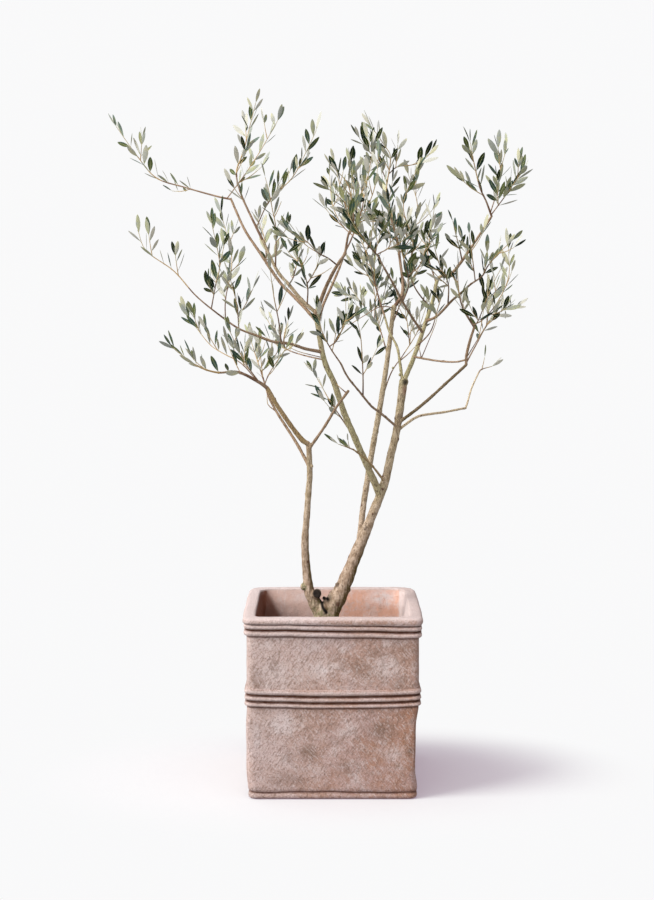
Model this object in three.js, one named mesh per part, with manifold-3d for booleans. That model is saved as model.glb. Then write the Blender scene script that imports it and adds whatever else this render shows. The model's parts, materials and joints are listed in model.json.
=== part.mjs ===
// Potted olive tree: a light, open olive with several stems, in a square terracotta planter.
// Millimetres, +Z up, +X to the viewer's right, +Y away from the viewer.
// The origin is the middle of the planter's flat underside.

import * as THREE from 'three';
import { mergeVertices } from 'three/addons/utils/BufferGeometryUtils.js';
import Module from 'manifold-3d';

const GAP = 0.3;
const UP = new THREE.Vector3(0, 0, 1);
const ACROSS = new THREE.Vector3(1, 0, 0);

// The planter: a square body, three ribs round its middle and three at its rim.
const PLANTER = {
  height: 370,
  floor: 25,
  cavityHalf: 149.5,
  bodyFootHalf: 170.5,
  bodyTopHalf: 172,
  cornerRadius: 14,
  cavityCornerRadius: 12,
  cornerSteps: 2,
};
const FOOT = { half: 170, height: 14.5, groove: 168, edge: 160 };
const FILLET = 9;
const MIDDLE_BAND = { root: 173.5, reach: 177, levels: [195.5, 208, 221.5], halfHeights: [4.5, 4.7, 5.6] };
const RIM_BAND = { root: 174, reach: 178, levels: [336.5, 350], halfHeights: [5.6, 5.2] };
const RIM_ROLL = { root: 175, reach: 180, level: 362.5, halfHeight: 7.2, lipHalf: 156, throatDrop: 5 };
const DRAIN = { radius: 8, fromCentre: 75, sides: 12 };

// The soil fills the planter to 65 mm below its rim.
const SOIL = { top: 305, edgeDrop: 6, flatHalf: 110 };

// Each limb starts on its parent's line at a share of the parent's length, bends through
// its points and tapers through radii that are evenly spaced along it.
const LIMBS = [
  { name: 'trunk', start: [-12, 0, SOIL.top - 15],
    through: [[-12, 0, 338], [19, 2, 395], [45.5, 6, 460], [75, 10, 532], [107, 14, 615], [121, 16, 675],
      [134.5, 18, 735], [147, 20, 830]],
    radii: [38, 29, 20, 16.6, 14, 12.8, 11.3, 9.9, 9.6, 9.2, 8.5, 8.2, 8, 8.8, 9], sides: 9 },
  { name: 'left_stem', parent: 'trunk', at: 0.08,
    through: [[-37, -6, 370], [-50, -8, 405], [-57, -13, 490], [-53, -19, 555], [-48.5, -24, 618],
      [-47, -27, 650], [-49, -32, 705]],
    radii: [15, 11, 9, 8, 7, 6.5, 6.2, 5.8], sides: 8 },
  { name: 'back_stem', parent: 'trunk', at: 0.37,
    through: [[62, 34, 545], [68, 48, 585], [82, 70, 670], [106, 100, 800], [122, 120, 910],
      [130, 132, 980]],
    radii: [6.6, 6.5, 6.4, 6, 5.4, 4.6], sides: 8 },
  { name: 'middle_stem', parent: 'trunk', at: 0.575,
    through: [[70, -14, 660], [46, -30, 715], [23, -44, 770], [3, -54, 830], [-18, -58, 880],
      [-35, -60, 975]],
    radii: [7.4, 7, 6.6, 6.2, 5.6, 5], sides: 8 },
  { name: 'lower_left_bough', parent: 'left_stem', at: 1,
    through: [[-67, -40, 718], [-108, -62, 778], [-133, -78, 823]], radii: [5.6, 5, 4.4] },
  { name: 'lower_left_back_twig', parent: 'left_stem', at: 0.87,
    through: [[-72, -6, 699], [-92, 10, 729], [-116, 24, 765], [-135, 36, 800]], radii: [3.6, 3, 2.4] },
  { name: 'cut_stub', parent: 'left_stem', at: 0.97,
    through: [[-18.5, -60, 738.5], [7.5, -85, 783], [32, -105, 818]], radii: [3.4, 3, 2.8] },
  { name: 'upper_left_bough', parent: 'middle_stem', at: 1,
    through: [[-63, -56, 998], [-88, -50, 1028], [-113, -44, 1058], [-142, -34, 1119]],
    radii: [4.4, 3.7, 3.2] },
  { name: 'rear_left_bough', parent: 'middle_stem', at: 0.95,
    through: [[-60, -30, 985], [-85, 0, 1010], [-110, 25, 1035], [-155, 70, 1100], [-185, 95, 1145],
      [-215, 125, 1210]],
    radii: [3.6, 3.2, 2.4] },
  { name: 'centre_front_bough', parent: 'middle_stem', at: 0.985,
    through: [[-15, -90, 1020], [5, -120, 1060], [25, -145, 1090]], radii: [4.4, 3.6, 3] },
  { name: 'centre_rear_bough', parent: 'middle_stem', at: 0.93,
    through: [[-20, -30, 985], [0, 10, 1030], [15, 45, 1065], [25, 65, 1095]], radii: [3.2, 2.7, 2.2] },
  { name: 'left_bough', parent: 'middle_stem', at: 0.8,
    through: [[-55, -74, 900], [-85, -84, 910], [-120, -90, 915], [-160, -94, 930]], radii: [3.4, 3, 2.5] },
  { name: 'right_bough', parent: 'trunk', at: 1,
    through: [[165, 26, 870], [187.5, 34, 933], [208, 42, 996], [220, 50, 1042], [247, 55, 1051],
      [283, 64, 1097], [333, 78, 1172]],
    radii: [5.4, 4.8, 4.3, 3.6, 3, 2.6], sides: 7 },
  { name: 'rear_centre_bough', parent: 'trunk', at: 0.985,
    through: [[140, 45, 870], [135, 70, 900], [120, 95, 930], [110, 120, 965]], radii: [3.5, 3, 2.5] },
  { name: 'bare_twig', parent: 'right_bough', at: 0.14,
    through: [[175, -20, 880], [215, -70, 875], [245, -105, 875], [262, -130, 880]], radii: [2.3, 2.1, 1.7] },
  { name: 'right_front_bough', parent: 'right_bough', at: 0.33,
    through: [[215, 0, 965], [240, -45, 995], [255, -75, 1010], [275, -100, 1030]], radii: [2.9, 2.5, 2.1] },
  { name: 'front_centre_bough', parent: 'right_bough', at: 0.27,
    through: [[160, -20, 965], [140, -70, 995], [125, -115, 1020], [100, -170, 1060]], radii: [2.7, 2.4, 2] },
  { name: 'lower_right_bough', parent: 'trunk', at: 0.845,
    through: [[170, 0, 770], [198.5, -20, 796], [229, -38, 826.5], [256.5, -52, 853.5],
      [271.5, -58, 868.5]],
    radii: [3.7, 3.4, 3.2], sides: 7 },
  { name: 'outer_right_bough', parent: 'lower_right_bough', at: 1,
    through: [[270, -62, 885], [275, -66, 910], [285, -70, 945]], radii: [3, 2.8, 2.5] },
  { name: 'lowest_right_bough', parent: 'trunk', at: 0.815,
    through: [[175, 60, 751], [210, 95, 756], [240, 130, 757], [290, 175, 763]], radii: [3, 2.7, 2.4] },
  { name: 'lowest_right_shoot', parent: 'lowest_right_bough', at: 1,
    through: [[293, 178, 773], [303, 188, 805], [320, 200, 840]], radii: [2.2, 1.9, 1.6] },
  { name: 'cross_bough', parent: 'trunk', at: 0.83,
    through: [[100, -20, 765], [78, -50, 783.5], [54, -85, 814], [30, -120, 845], [15, -150, 875]],
    radii: [2.7, 2.3, 1.9] },
  { name: 'low_front_bough', parent: 'trunk', at: 0.625,
    through: [[80, -30, 660], [58, -60, 683], [41, -86, 698]], radii: [2.6, 2.2, 1.8] },
];
const LIMB_SIDES = 5;
const LIMB_RING_EVERY = 48;
const LIMB_DOME = 0.6;
const GROWN_TIP = 2;

// The old pruning wound in the crotch of the trunk and the callus at the right stem's top.
const PRUNED_STUB = { from: [-14, -8, 348], to: [-27, -18, 388], radii: [8, 7.2, 6.6] };
const CALLUS = { at: [147, 20, 826], radii: [11.5, 11, 9] };

// Each mass of foliage grows from one stem. The forks leave that stem at a share of its length.
const FOLIAGE = [
  { name: 'low_left', limb: 'lower_left_bough', at: 1,
    stem: [[-150, -90, 835], [-190, -105, 855], [-230, -125, 855], [-270, -140, 870], [-315, -150, 905]],
    forks: [{ at: 0.12, through: [[-185, -60, 870], [-225, -30, 890], [-255, -10, 910], [-295, 10, 960]] },
      { at: 0.1, through: [[-175, -110, 875], [-200, -135, 930]] },
      { at: 0.04, through: [[-125, -100, 855], [-95, -140, 900]] }] },
  { name: 'low_left_rear', limb: 'lower_left_back_twig', at: 1,
    stem: [[-145, 70, 830], [-160, 110, 870], [-175, 150, 910]],
    forks: [{ at: 0.4, through: [[-130, 110, 865], [-110, 125, 900]] }] },
  { name: 'far_left', limb: 'left_bough', at: 1,
    stem: [[-185, -100, 940], [-215, -100, 960], [-270, -110, 1005], [-315, -105, 1055], [-370, -100, 1095],
      [-385, -90, 1130]],
    bareShare: 0.6,
    forks: [{ at: 0.1, through: [[-190, -125, 990], [-200, -150, 1035]] },
      { at: 0.2, through: [[-215, -70, 1000], [-205, -20, 1080], [-225, 10, 1160]] },
      { at: 0.31, through: [[-230, -150, 1025], [-220, -175, 1070], [-230, -200, 1130]] }] },
  { name: 'left_front', limb: 'left_bough', at: 0.6,
    stem: [[-107, -120, 955], [-115, -155, 1002], [-120, -180, 1043]], forks: [] },
  { name: 'left_rear', limb: 'middle_stem', at: 0.76,
    stem: [[-60, -20, 885], [-95, 40, 895], [-115, 100, 915], [-140, 155, 955]],
    forks: [{ at: 0.5, through: [[-102, 60, 917], [-96, 80, 942]] }] },
  { name: 'top_left', limb: 'upper_left_bough', at: 1,
    stem: [[-160, -30, 1155], [-185, -25, 1210], [-195, -15, 1255], [-180, -10, 1300], [-162, 0, 1372]],
    forks: [{ at: 0.1,
      through: [[-125, -90, 1195], [-80, -140, 1235], [-52, -175, 1282], [-38, -188, 1310]] }] },
  { name: 'upper_left_low', limb: 'upper_left_bough', at: 0.66,
    stem: [[-113, -90, 1136], [-120, -110, 1179], [-125, -125, 1209], [-129, -130, 1224]], forks: [] },
  { name: 'upper_left_rear', limb: 'upper_left_bough', at: 0.42,
    stem: [[-80, 0, 1045], [-74, 50, 1075], [-72, 90, 1101]], forks: [] },
  { name: 'upper_left_near', limb: 'upper_left_bough', at: 0.12,
    stem: [[-50, -105, 1025], [-60, -150, 1060], [-70, -180, 1085]],
    forks: [{ at: 0.4, through: [[-35, -130, 1055], [-30, -145, 1070]] }] },
  { name: 'far_top_left', limb: 'rear_left_bough', at: 1,
    stem: [[-245, 135, 1215], [-315, 150, 1235], [-375, 160, 1255], [-415, 165, 1300], [-452, 168, 1352]],
    forks: [{ at: 0.03, through: [[-185, 165, 1265], [-155, 200, 1315], [-125, 225, 1370]] }] },
  { name: 'rear_left', limb: 'rear_left_bough', at: 0.55,
    stem: [[-140, 110, 1075], [-145, 170, 1125], [-160, 230, 1165]], forks: [] },
  { name: 'centre_front', limb: 'centre_front_bough', at: 1,
    stem: [[30, -165, 1125], [40, -180, 1150], [35, -195, 1195], [25, -205, 1225], [5, -210, 1245]],
    forks: [{ at: 0.35, through: [[25, -225, 1180], [0, -255, 1200]] },
      { at: 0.5, through: [[55, -170, 1205], [70, -160, 1245]] },
      { at: 0.28, through: [[24, -172, 1178], [14, -150, 1219], [6, -140, 1254]] },
      { at: 0.2, through: [[60, -200, 1165], [80, -215, 1215], [85, -215, 1260]] }] },
  { name: 'centre_left_front', limb: 'centre_front_bough', at: 0.78,
    stem: [[-10, -150, 1080], [-30, -175, 1090], [-50, -205, 1110], [-75, -225, 1125]], forks: [] },
  { name: 'centre_rear', limb: 'centre_rear_bough', at: 1,
    stem: [[40, 90, 1125], [60, 115, 1180], [70, 130, 1230], [85, 135, 1310]],
    forks: [{ at: 0.2, through: [[20, 130, 1155], [0, 165, 1200], [-5, 190, 1255]] },
      { at: 0.35, through: [[45, 85, 1215], [38, 70, 1265]] }] },
  { name: 'top_centre', limb: 'back_stem', at: 1,
    stem: [[150, 140, 1015], [145, 160, 1080], [135, 170, 1140], [115, 185, 1215], [125, 190, 1297],
      [113, 195, 1325], [102, 198, 1341]],
    forks: [{ at: 0.45, through: [[85, 220, 1180], [60, 255, 1245]] },
      { at: 0.3, through: [[170, 190, 1135], [185, 225, 1200], [170, 245, 1255]] },
      { at: 0.72, through: [[139, 200, 1281], [167, 205, 1285], [191, 210, 1292], [204, 212, 1305]] },
      { at: 0.68, through: [[97, 165, 1290], [76, 150, 1312], [65, 140, 1326]] }] },
  { name: 'low_rear_right', limb: 'back_stem', at: 0.6,
    stem: [[125, 130, 840], [155, 180, 880], [185, 220, 925], [205, 255, 975]], bareShare: 0.6,
    forks: [{ at: 0.6, through: [[165, 225, 940], [160, 255, 980]] }] },
  { name: 'rear_centre', limb: 'back_stem', at: 0.8,
    stem: [[100, 185, 940], [75, 235, 975], [45, 280, 1015]],
    forks: [{ at: 0.5, through: [[95, 230, 995], [105, 260, 1050]] }] },
  { name: 'rear_right', limb: 'back_stem', at: 0.92,
    stem: [[150, 185, 995], [175, 240, 1040], [205, 290, 1090]], forks: [] },
  { name: 'inner_rear', limb: 'rear_centre_bough', at: 1,
    stem: [[95, 145, 1015], [85, 165, 1060], [70, 180, 1105], [50, 195, 1150]], forks: [] },
  { name: 'centre_near', limb: 'front_centre_bough', at: 1,
    stem: [[85, -195, 1085], [70, -215, 1100], [50, -240, 1125], [30, -260, 1155]],
    forks: [{ at: 0.25, through: [[110, -205, 1105], [100, -235, 1145]] }] },
  { name: 'near_centre_right', limb: 'front_centre_bough', at: 0.5,
    stem: [[150, -120, 1030], [140, -165, 1070], [125, -195, 1115], [110, -220, 1165]],
    forks: [{ at: 0.35, through: [[170, -190, 1070], [180, -220, 1115]] }] },
  { name: 'right_of_centre', limb: 'right_bough', at: 0.4,
    stem: [[170, 0, 1020], [155, -40, 1060], [160, -70, 1115], [140, -90, 1185], [160, -100, 1240]],
    forks: [{ at: 0.55, through: [[120, -60, 1165], [110, -40, 1220]] }] },
  { name: 'right_upright', limb: 'right_bough', at: 0.53,
    stem: [[200, 85, 1090], [205, 115, 1125], [215, 145, 1180]], forks: [] },
  { name: 'right_inner', limb: 'right_bough', at: 0.72,
    stem: [[261, 30, 1106], [252, 0, 1129], [246, -20, 1147]], forks: [] },
  { name: 'upper_right', limb: 'right_bough', at: 1,
    stem: [[320, 70, 1200], [305, 60, 1230], [291, 46, 1280], [284, 38, 1312]],
    forks: [{ at: 0.05, through: [[346, 105, 1226], [354, 128, 1265], [366, 145, 1306]] },
      { at: 0.02, through: [[360, 50, 1215], [373, 32, 1236], [384, 20, 1252]] }] },
  { name: 'right_front', limb: 'right_front_bough', at: 1,
    stem: [[295, -120, 1045], [305, -130, 1065], [325, -150, 1090], [340, -160, 1105]],
    forks: [{ at: 0.1, through: [[275, -140, 1070], [265, -180, 1115]] }] },
  { name: 'right_near', limb: 'right_front_bough', at: 0.5,
    stem: [[230, -90, 1030], [210, -140, 1065], [195, -180, 1105]], forks: [] },
  { name: 'right_front_low', limb: 'right_bough', at: 0.2,
    stem: [[200, -30, 935], [212, -75, 985], [222, -115, 1025]], bareShare: 0.55, forks: [] },
  { name: 'far_right', limb: 'outer_right_bough', at: 1,
    stem: [[260, -95, 980], [250, -110, 1015], [245, -135, 1055]],
    forks: [{ at: 0.04, through: [[305, -60, 960], [335, -40, 995], [358, -22, 1045], [358, -14, 1088]] },
      { at: 0.02, through: [[290, -110, 960], [310, -165, 1025], [320, -190, 1050]] }] },
  { name: 'far_right_low', limb: 'lower_right_bough', at: 0.96,
    stem: [[295, -20, 910], [315, 15, 940], [345, 60, 970], [380, 95, 980]],
    forks: [{ at: 0.5, through: [[325, 20, 985], [345, 45, 1030]] }] },
  { name: 'low_right_tip', limb: 'lowest_right_shoot', at: 1,
    stem: [[326, 206, 845], [338, 212, 848]], forks: [] },
  { name: 'centre_low', limb: 'cross_bough', at: 1,
    stem: [[-5, -175, 905], [-20, -195, 935], [-25, -210, 955]],
    forks: [{ at: 0.4, through: [[10, -205, 925], [25, -240, 965]] }] },
  { name: 'centre_low_shoot', limb: 'cross_bough', at: 0.55,
    stem: [[60, -115, 850], [55, -170, 920], [50, -195, 945]], forks: [] },
  { name: 'low_front', limb: 'low_front_bough', at: 1,
    stem: [[32, -94, 702], [22, -99, 706]], forks: [] },
  { name: 'stem_twig', limb: 'middle_stem', at: 0.33,
    stem: [[-5, -10, 790], [-20, 10, 815], [-35, 25, 840]], forks: [] },
];

// Shoots, side twigs and leaves. Leaves stand a little larger than life, as they are fewer.
const SHOOT = { baseRadius: 2, tipRadius: 1, forkBaseRadius: 1.6, stretch: 80, sides: 3 };
const SIDE_TWIG = {
  every: 130,
  firstShare: 0.22,
  lastShare: 0.86,
  longest: 72,
  shortest: 34,
  leastSize: 0.75,
  sizeRange: 0.4,
  quarterTurns: 1.53,
  spread: 0.75,
  lift: 0.22,
  baseRadius: 1.2,
  tipRadius: 0.9,
};
const LEAF = {
  every: 70,
  stemBareShare: 0.3,
  forkBareShare: 0.2,
  twigBareShare: 0.4,
  bareTip: 8,
  longest: 58,
  shortest: 46,
  widthShare: 0.25,
  thickness: 1.4,
  spread: 0.8,
  leastSpread: 0.8,
  spreadRange: 0.4,
  turnRange: 0.3,
  cupping: 0.4,
  lift: 0.16,
  bow: 0.08,
  widestAt: 0.52,
  lowTest: 0.3,
  highTest: 0.78,
  apart: 8,
};
const TIP_LEAF = { inset: 2, turn: 1, spread: 0.12, size: 0.85 };
const OWN_SPACE_MARGIN = 1.2;
const LIMB_CLEARANCE = 1.5;
const SAMPLE_EVERY = 7;
const CUT_OVERLAP = 2;
const NEARLY_UPRIGHT = 0.95;
const NEARLY_LEVEL = 0.9;

// The numbers of the seeded draws: a linear congruential generator.
const DRAWS = { modulus: 2 ** 32, factor: 1664525, step: 1013904223, seedFactor: 7919, seedStep: 104729 };

// Limbs thicker than this at their base have the grey bark of the trunk.
const GREY_BARK_RADIUS = 5;
const COLOURS = { terracotta: 0xb89c94, soil: 0x4a3a2e, trunk: 0xb6a78f, bough: 0xa8977c, leaf: 0x6f7f6c };

const wasm = await Module();
wasm.setup();

// Solids

function solidOf(geometry) {
  const bare = geometry.clone();
  bare.deleteAttribute('normal');
  bare.deleteAttribute('uv');
  const merged = mergeVertices(bare, 1e-4);
  return new wasm.Manifold(new wasm.Mesh({
    numProp: 3,
    vertProperties: new Float32Array(merged.attributes.position.array),
    triVerts: new Uint32Array(merged.index.array),
  }));
}

function geometryOf(solid) {
  const mesh = solid.getMesh();
  const geometry = new THREE.BufferGeometry();
  geometry.setAttribute('position', new THREE.BufferAttribute(new Float32Array(mesh.vertProperties), 3));
  geometry.setIndex(new THREE.BufferAttribute(new Uint32Array(mesh.triVerts), 1));
  geometry.computeVertexNormals();
  return geometry;
}

function largestPiece(solid) {
  const pieces = solid.decompose();
  return pieces.reduce((best, piece) => (piece.volume() > best.volume() ? piece : best));
}

// Joins rings of equal length into one closed skin. Both ends close to a middle point.
function loft(rings, firstMiddle, lastMiddle) {
  const count = rings[0].length;
  const points = [...rings.flat(), firstMiddle, lastMiddle];
  const first = points.length - 2;
  const last = points.length - 1;
  const lastRing = (rings.length - 1) * count;
  const faces = [];
  for (let i = 0; i < count; i += 1) {
    const next = (i + 1) % count;
    faces.push(first, next, i);
    faces.push(last, lastRing + i, lastRing + next);
    for (let ring = 0; ring < rings.length - 1; ring += 1) {
      const low = ring * count;
      const high = low + count;
      faces.push(low + i, low + next, high + next);
      faces.push(low + i, high + next, high + i);
    }
  }
  const geometry = new THREE.BufferGeometry().setFromPoints(points);
  geometry.setIndex(faces);
  return geometry;
}

// Planter and soil

function roundedSquare(half, level, radius) {
  const ring = [];
  for (let corner = 0; corner < 4; corner += 1) {
    const centre = new THREE.Vector2(half - radius, half - radius)
      .rotateAround(new THREE.Vector2(), (corner * Math.PI) / 2);
    for (let step = 0; step <= PLANTER.cornerSteps; step += 1) {
      const turn = ((corner + step / PLANTER.cornerSteps) * Math.PI) / 2;
      ring.push(new THREE.Vector3(
        centre.x + radius * Math.cos(turn),
        centre.y + radius * Math.sin(turn),
        level,
      ));
    }
  }
  return ring;
}

function rib(root, reach, level, halfHeight) {
  return [
    [root, level - halfHeight],
    [reach, level - halfHeight / 2],
    [reach, level + halfHeight / 2],
    [root, level + halfHeight],
  ];
}

function planterGeometry() {
  const bandRibs = ({ root, reach, levels, halfHeights }) => (
    levels.flatMap((level, i) => rib(root, reach, level, halfHeights[i]))
  );
  const outside = [
    [FOOT.edge, 0],
    [FOOT.half - 1, FOOT.height / 4],
    [FOOT.half, FOOT.height * 0.6],
    [FOOT.groove, FOOT.height],
    [PLANTER.bodyFootHalf, FOOT.height + FILLET / 2],
    [PLANTER.bodyTopHalf, MIDDLE_BAND.levels[0] - FILLET],
    ...bandRibs(MIDDLE_BAND),
    [PLANTER.bodyTopHalf, MIDDLE_BAND.levels[2] + FILLET],
    [PLANTER.bodyTopHalf, RIM_BAND.levels[0] - FILLET],
    ...bandRibs(RIM_BAND),
    ...rib(RIM_ROLL.root, RIM_ROLL.reach, RIM_ROLL.level, RIM_ROLL.halfHeight),
  ];
  const inside = [
    [RIM_ROLL.lipHalf, PLANTER.height],
    [PLANTER.cavityHalf, PLANTER.height - RIM_ROLL.throatDrop],
    [PLANTER.cavityHalf, PLANTER.floor],
  ];
  const rings = [
    ...outside.map(([half, level]) => roundedSquare(half, level, PLANTER.cornerRadius)),
    ...inside.map(([half, level]) => roundedSquare(half, level, PLANTER.cavityCornerRadius)),
  ];
  const body = solidOf(loft(rings, new THREE.Vector3(0, 0, 0), new THREE.Vector3(0, 0, PLANTER.floor)));
  const drain = new THREE.CylinderGeometry(DRAIN.radius, DRAIN.radius, PLANTER.floor * 2, DRAIN.sides);
  drain.rotateX(Math.PI / 2);
  let drained = body;
  for (const [x, y] of [[-1, -1], [-1, 1], [1, -1], [1, 1]]) {
    const hole = drain.clone().translate(x * DRAIN.fromCentre, y * DRAIN.fromCentre, 0);
    drained = drained.subtract(solidOf(hole));
  }
  return geometryOf(drained);
}

function soilGeometry() {
  const half = PLANTER.cavityHalf - GAP;
  const radius = PLANTER.cavityCornerRadius;
  const rings = [
    roundedSquare(half, PLANTER.floor + GAP, radius),
    roundedSquare(half, SOIL.top - SOIL.edgeDrop, radius),
    roundedSquare(SOIL.flatHalf, SOIL.top, radius),
  ];
  return loft(rings, new THREE.Vector3(0, 0, PLANTER.floor + GAP), new THREE.Vector3(0, 0, SOIL.top));
}

// A route is a smooth line through its points, cut into even straight stretches.
// Places and headings on it are found by the share of its length.
class Route {
  constructor(points, every) {
    const curve = new THREE.CatmullRomCurve3(points, false, 'catmullrom', 0.5);
    this.stretches = Math.ceil(curve.getLength() / every);
    this.points = curve.getSpacedPoints(this.stretches);
    this.reached = [0];
    for (let i = 1; i <= this.stretches; i += 1) {
      this.reached.push(this.reached[i - 1] + this.points[i].distanceTo(this.points[i - 1]));
    }
    this.length = this.reached[this.stretches];
  }

  stretchAt(share) {
    const distance = THREE.MathUtils.clamp(share, 0, 1) * this.length;
    let i = 0;
    while (i < this.stretches - 1 && this.reached[i + 1] < distance) i += 1;
    return { i, part: (distance - this.reached[i]) / (this.reached[i + 1] - this.reached[i]) };
  }

  at(share) {
    const { i, part } = this.stretchAt(share);
    return this.points[i].clone().lerp(this.points[i + 1], part);
  }

  heading(share) {
    const { i } = this.stretchAt(share);
    return this.points[i + 1].clone().sub(this.points[i]).normalize();
  }

  // The heading at one of its own points, halfway between the stretches that meet there.
  headingAtPoint(i) {
    const before = this.points[Math.max(i - 1, 0)];
    const after = this.points[Math.min(i + 1, this.stretches)];
    return after.clone().sub(before).normalize();
  }

  sampled(every) {
    const count = Math.ceil(this.length / every);
    return Array.from({ length: count + 1 }, (_, i) => this.at(i / count));
  }
}

const vectors = (points) => points.map(([x, y, z]) => new THREE.Vector3(x, y, z));

// A start on the parent's line stays just short of the parent's tip, so that it is cut clean.
function startOn(route, share) {
  return route.at(Math.min(share, 1 - CUT_OVERLAP / route.length));
}

function spread(values, share) {
  const place = share * (values.length - 1);
  const low = Math.min(Math.floor(place), values.length - 2);
  return THREE.MathUtils.lerp(values[low], values[low + 1], place - low);
}

// A tapered round limb with a ring at each of its route's points, flat at its base and
// pointed at its tip. It can be grown by a clearance.
function limbGeometry(route, radii, sides, grow = 0) {
  const tipDome = LIMB_DOME * radii[radii.length - 1];
  const startHeading = route.headingAtPoint(0);
  const endHeading = route.headingAtPoint(route.stretches);
  const reference = Math.abs(startHeading.x) > NEARLY_LEVEL ? UP : ACROSS;
  let across = new THREE.Vector3().crossVectors(startHeading, reference);
  const rings = route.points.map((point, i) => {
    const heading = route.headingAtPoint(i);
    across = across.clone().addScaledVector(heading, -across.dot(heading)).normalize();
    const beside = new THREE.Vector3().crossVectors(heading, across);
    const centre = point.clone();
    if (i === 0) centre.addScaledVector(heading, -grow);
    if (i === route.stretches) centre.addScaledVector(heading, grow - tipDome);
    const radius = spread(radii, route.reached[i] / route.length) + grow;
    return Array.from({ length: sides }, (_, side) => {
      const turn = (2 * Math.PI * side) / sides;
      return centre.clone()
        .addScaledVector(across, radius * Math.cos(turn))
        .addScaledVector(beside, radius * Math.sin(turn));
    });
  });
  const base = route.at(0).addScaledVector(startHeading, -grow);
  const tip = route.at(1).addScaledVector(endHeading, GROWN_TIP * grow);
  return loft(rings, base, tip);
}

// Trunk, stems and boughs

const routes = {};
const limbSolids = {};
const limbSamples = [];

function growLimb(limb) {
  const start = limb.start
    ? new THREE.Vector3(...limb.start)
    : startOn(routes[limb.parent], limb.at);
  const route = new Route([start, ...vectors(limb.through)], LIMB_RING_EVERY);
  const sides = limb.sides ?? LIMB_SIDES;
  routes[limb.name] = route;
  let solid = solidOf(limbGeometry(route, limb.radii, sides));
  for (const earlier of Object.values(limbSolids)) {
    solid = solid.subtract(earlier.grown);
  }
  solid = largestPiece(solid);
  let grown = solidOf(limbGeometry(route, limb.radii, sides, GAP));
  if (limb.name === 'trunk') {
    const stub = new Route(vectors([PRUNED_STUB.from, PRUNED_STUB.to]), LIMB_RING_EVERY / 2);
    const callus = new THREE.IcosahedronGeometry(1, 1).scale(...CALLUS.radii).translate(...CALLUS.at);
    const grownCallus = new THREE.IcosahedronGeometry(1, 1)
      .scale(...CALLUS.radii.map((radius) => radius + GAP)).translate(...CALLUS.at);
    const ground = new THREE.BoxGeometry(PLANTER.height, PLANTER.height, SOIL.top)
      .translate(0, 0, SOIL.top / 2 + GAP);
    solid = solid.add(solidOf(limbGeometry(stub, PRUNED_STUB.radii, sides)))
      .add(solidOf(callus))
      .subtract(solidOf(ground));
    grown = grown.add(solidOf(limbGeometry(stub, PRUNED_STUB.radii, sides, GAP)))
      .add(solidOf(grownCallus));
  }
  limbSolids[limb.name] = { solid, grown };
  const count = Math.ceil(route.length / SAMPLE_EVERY);
  for (let i = 0; i <= count; i += 1) {
    limbSamples.push({ point: route.at(i / count), radius: spread(limb.radii, i / count) });
  }
}

LIMBS.forEach(growLimb);

// Foliage

// The same draws on every run.
function seededDraws(seed) {
  let state = (seed * DRAWS.seedFactor + DRAWS.seedStep) % DRAWS.modulus;
  return () => {
    state = (state * DRAWS.factor + DRAWS.step) % DRAWS.modulus;
    return state / DRAWS.modulus;
  };
}

// The hand-set shoots of a mass: its stem, then its forks.
function shootsOf(mass) {
  const stem = new Route([startOn(routes[mass.limb], mass.at), ...vectors(mass.stem)], SHOOT.stretch);
  const forks = mass.forks.map((fork) => (
    new Route([startOn(stem, fork.at), ...vectors(fork.through)], SHOOT.stretch)
  ));
  return [
    { route: stem, baseRadius: SHOOT.baseRadius, isStem: true },
    ...forks.map((route) => ({ route, baseRadius: SHOOT.forkBaseRadius, isStem: false })),
  ];
}

const shootsByMass = FOLIAGE.map(shootsOf);
const spaceSamples = shootsByMass.flatMap((shoots, owner) => (
  shoots.flatMap(({ route }) => route.sampled(SAMPLE_EVERY).map((point) => ({ point, owner })))
));

// A point is in a mass's own space where the mass's shoots are the nearest ones.
function inOwnSpace(point, owner) {
  let own = Infinity;
  let other = Infinity;
  for (const sample of spaceSamples) {
    const distance = sample.point.distanceTo(point);
    if (sample.owner === owner) own = Math.min(own, distance);
    else other = Math.min(other, distance);
  }
  return own + OWN_SPACE_MARGIN < other;
}

function clearOfLimbs(point, reach) {
  return limbSamples.every((sample) => (
    sample.point.distanceTo(point) > sample.radius + LIMB_CLEARANCE + reach
  ));
}

function clearOfPoints(point, taken) {
  return taken.every((other) => other.distanceTo(point) > LEAF.apart);
}

// A direction square to the heading, turned round it from the one that points most upwards.
function sideways(heading, turn) {
  const reference = Math.abs(heading.z) > NEARLY_UPRIGHT ? ACROSS : UP;
  const level = new THREE.Vector3().crossVectors(heading, reference).normalize();
  const raised = new THREE.Vector3().crossVectors(level, heading).normalize();
  return level.multiplyScalar(Math.cos(turn)).addScaledVector(raised, Math.sin(turn));
}

function leaning(heading, side, angle, lift) {
  return heading.clone().multiplyScalar(Math.cos(angle))
    .addScaledVector(side, Math.sin(angle))
    .addScaledVector(UP, lift)
    .normalize();
}

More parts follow.
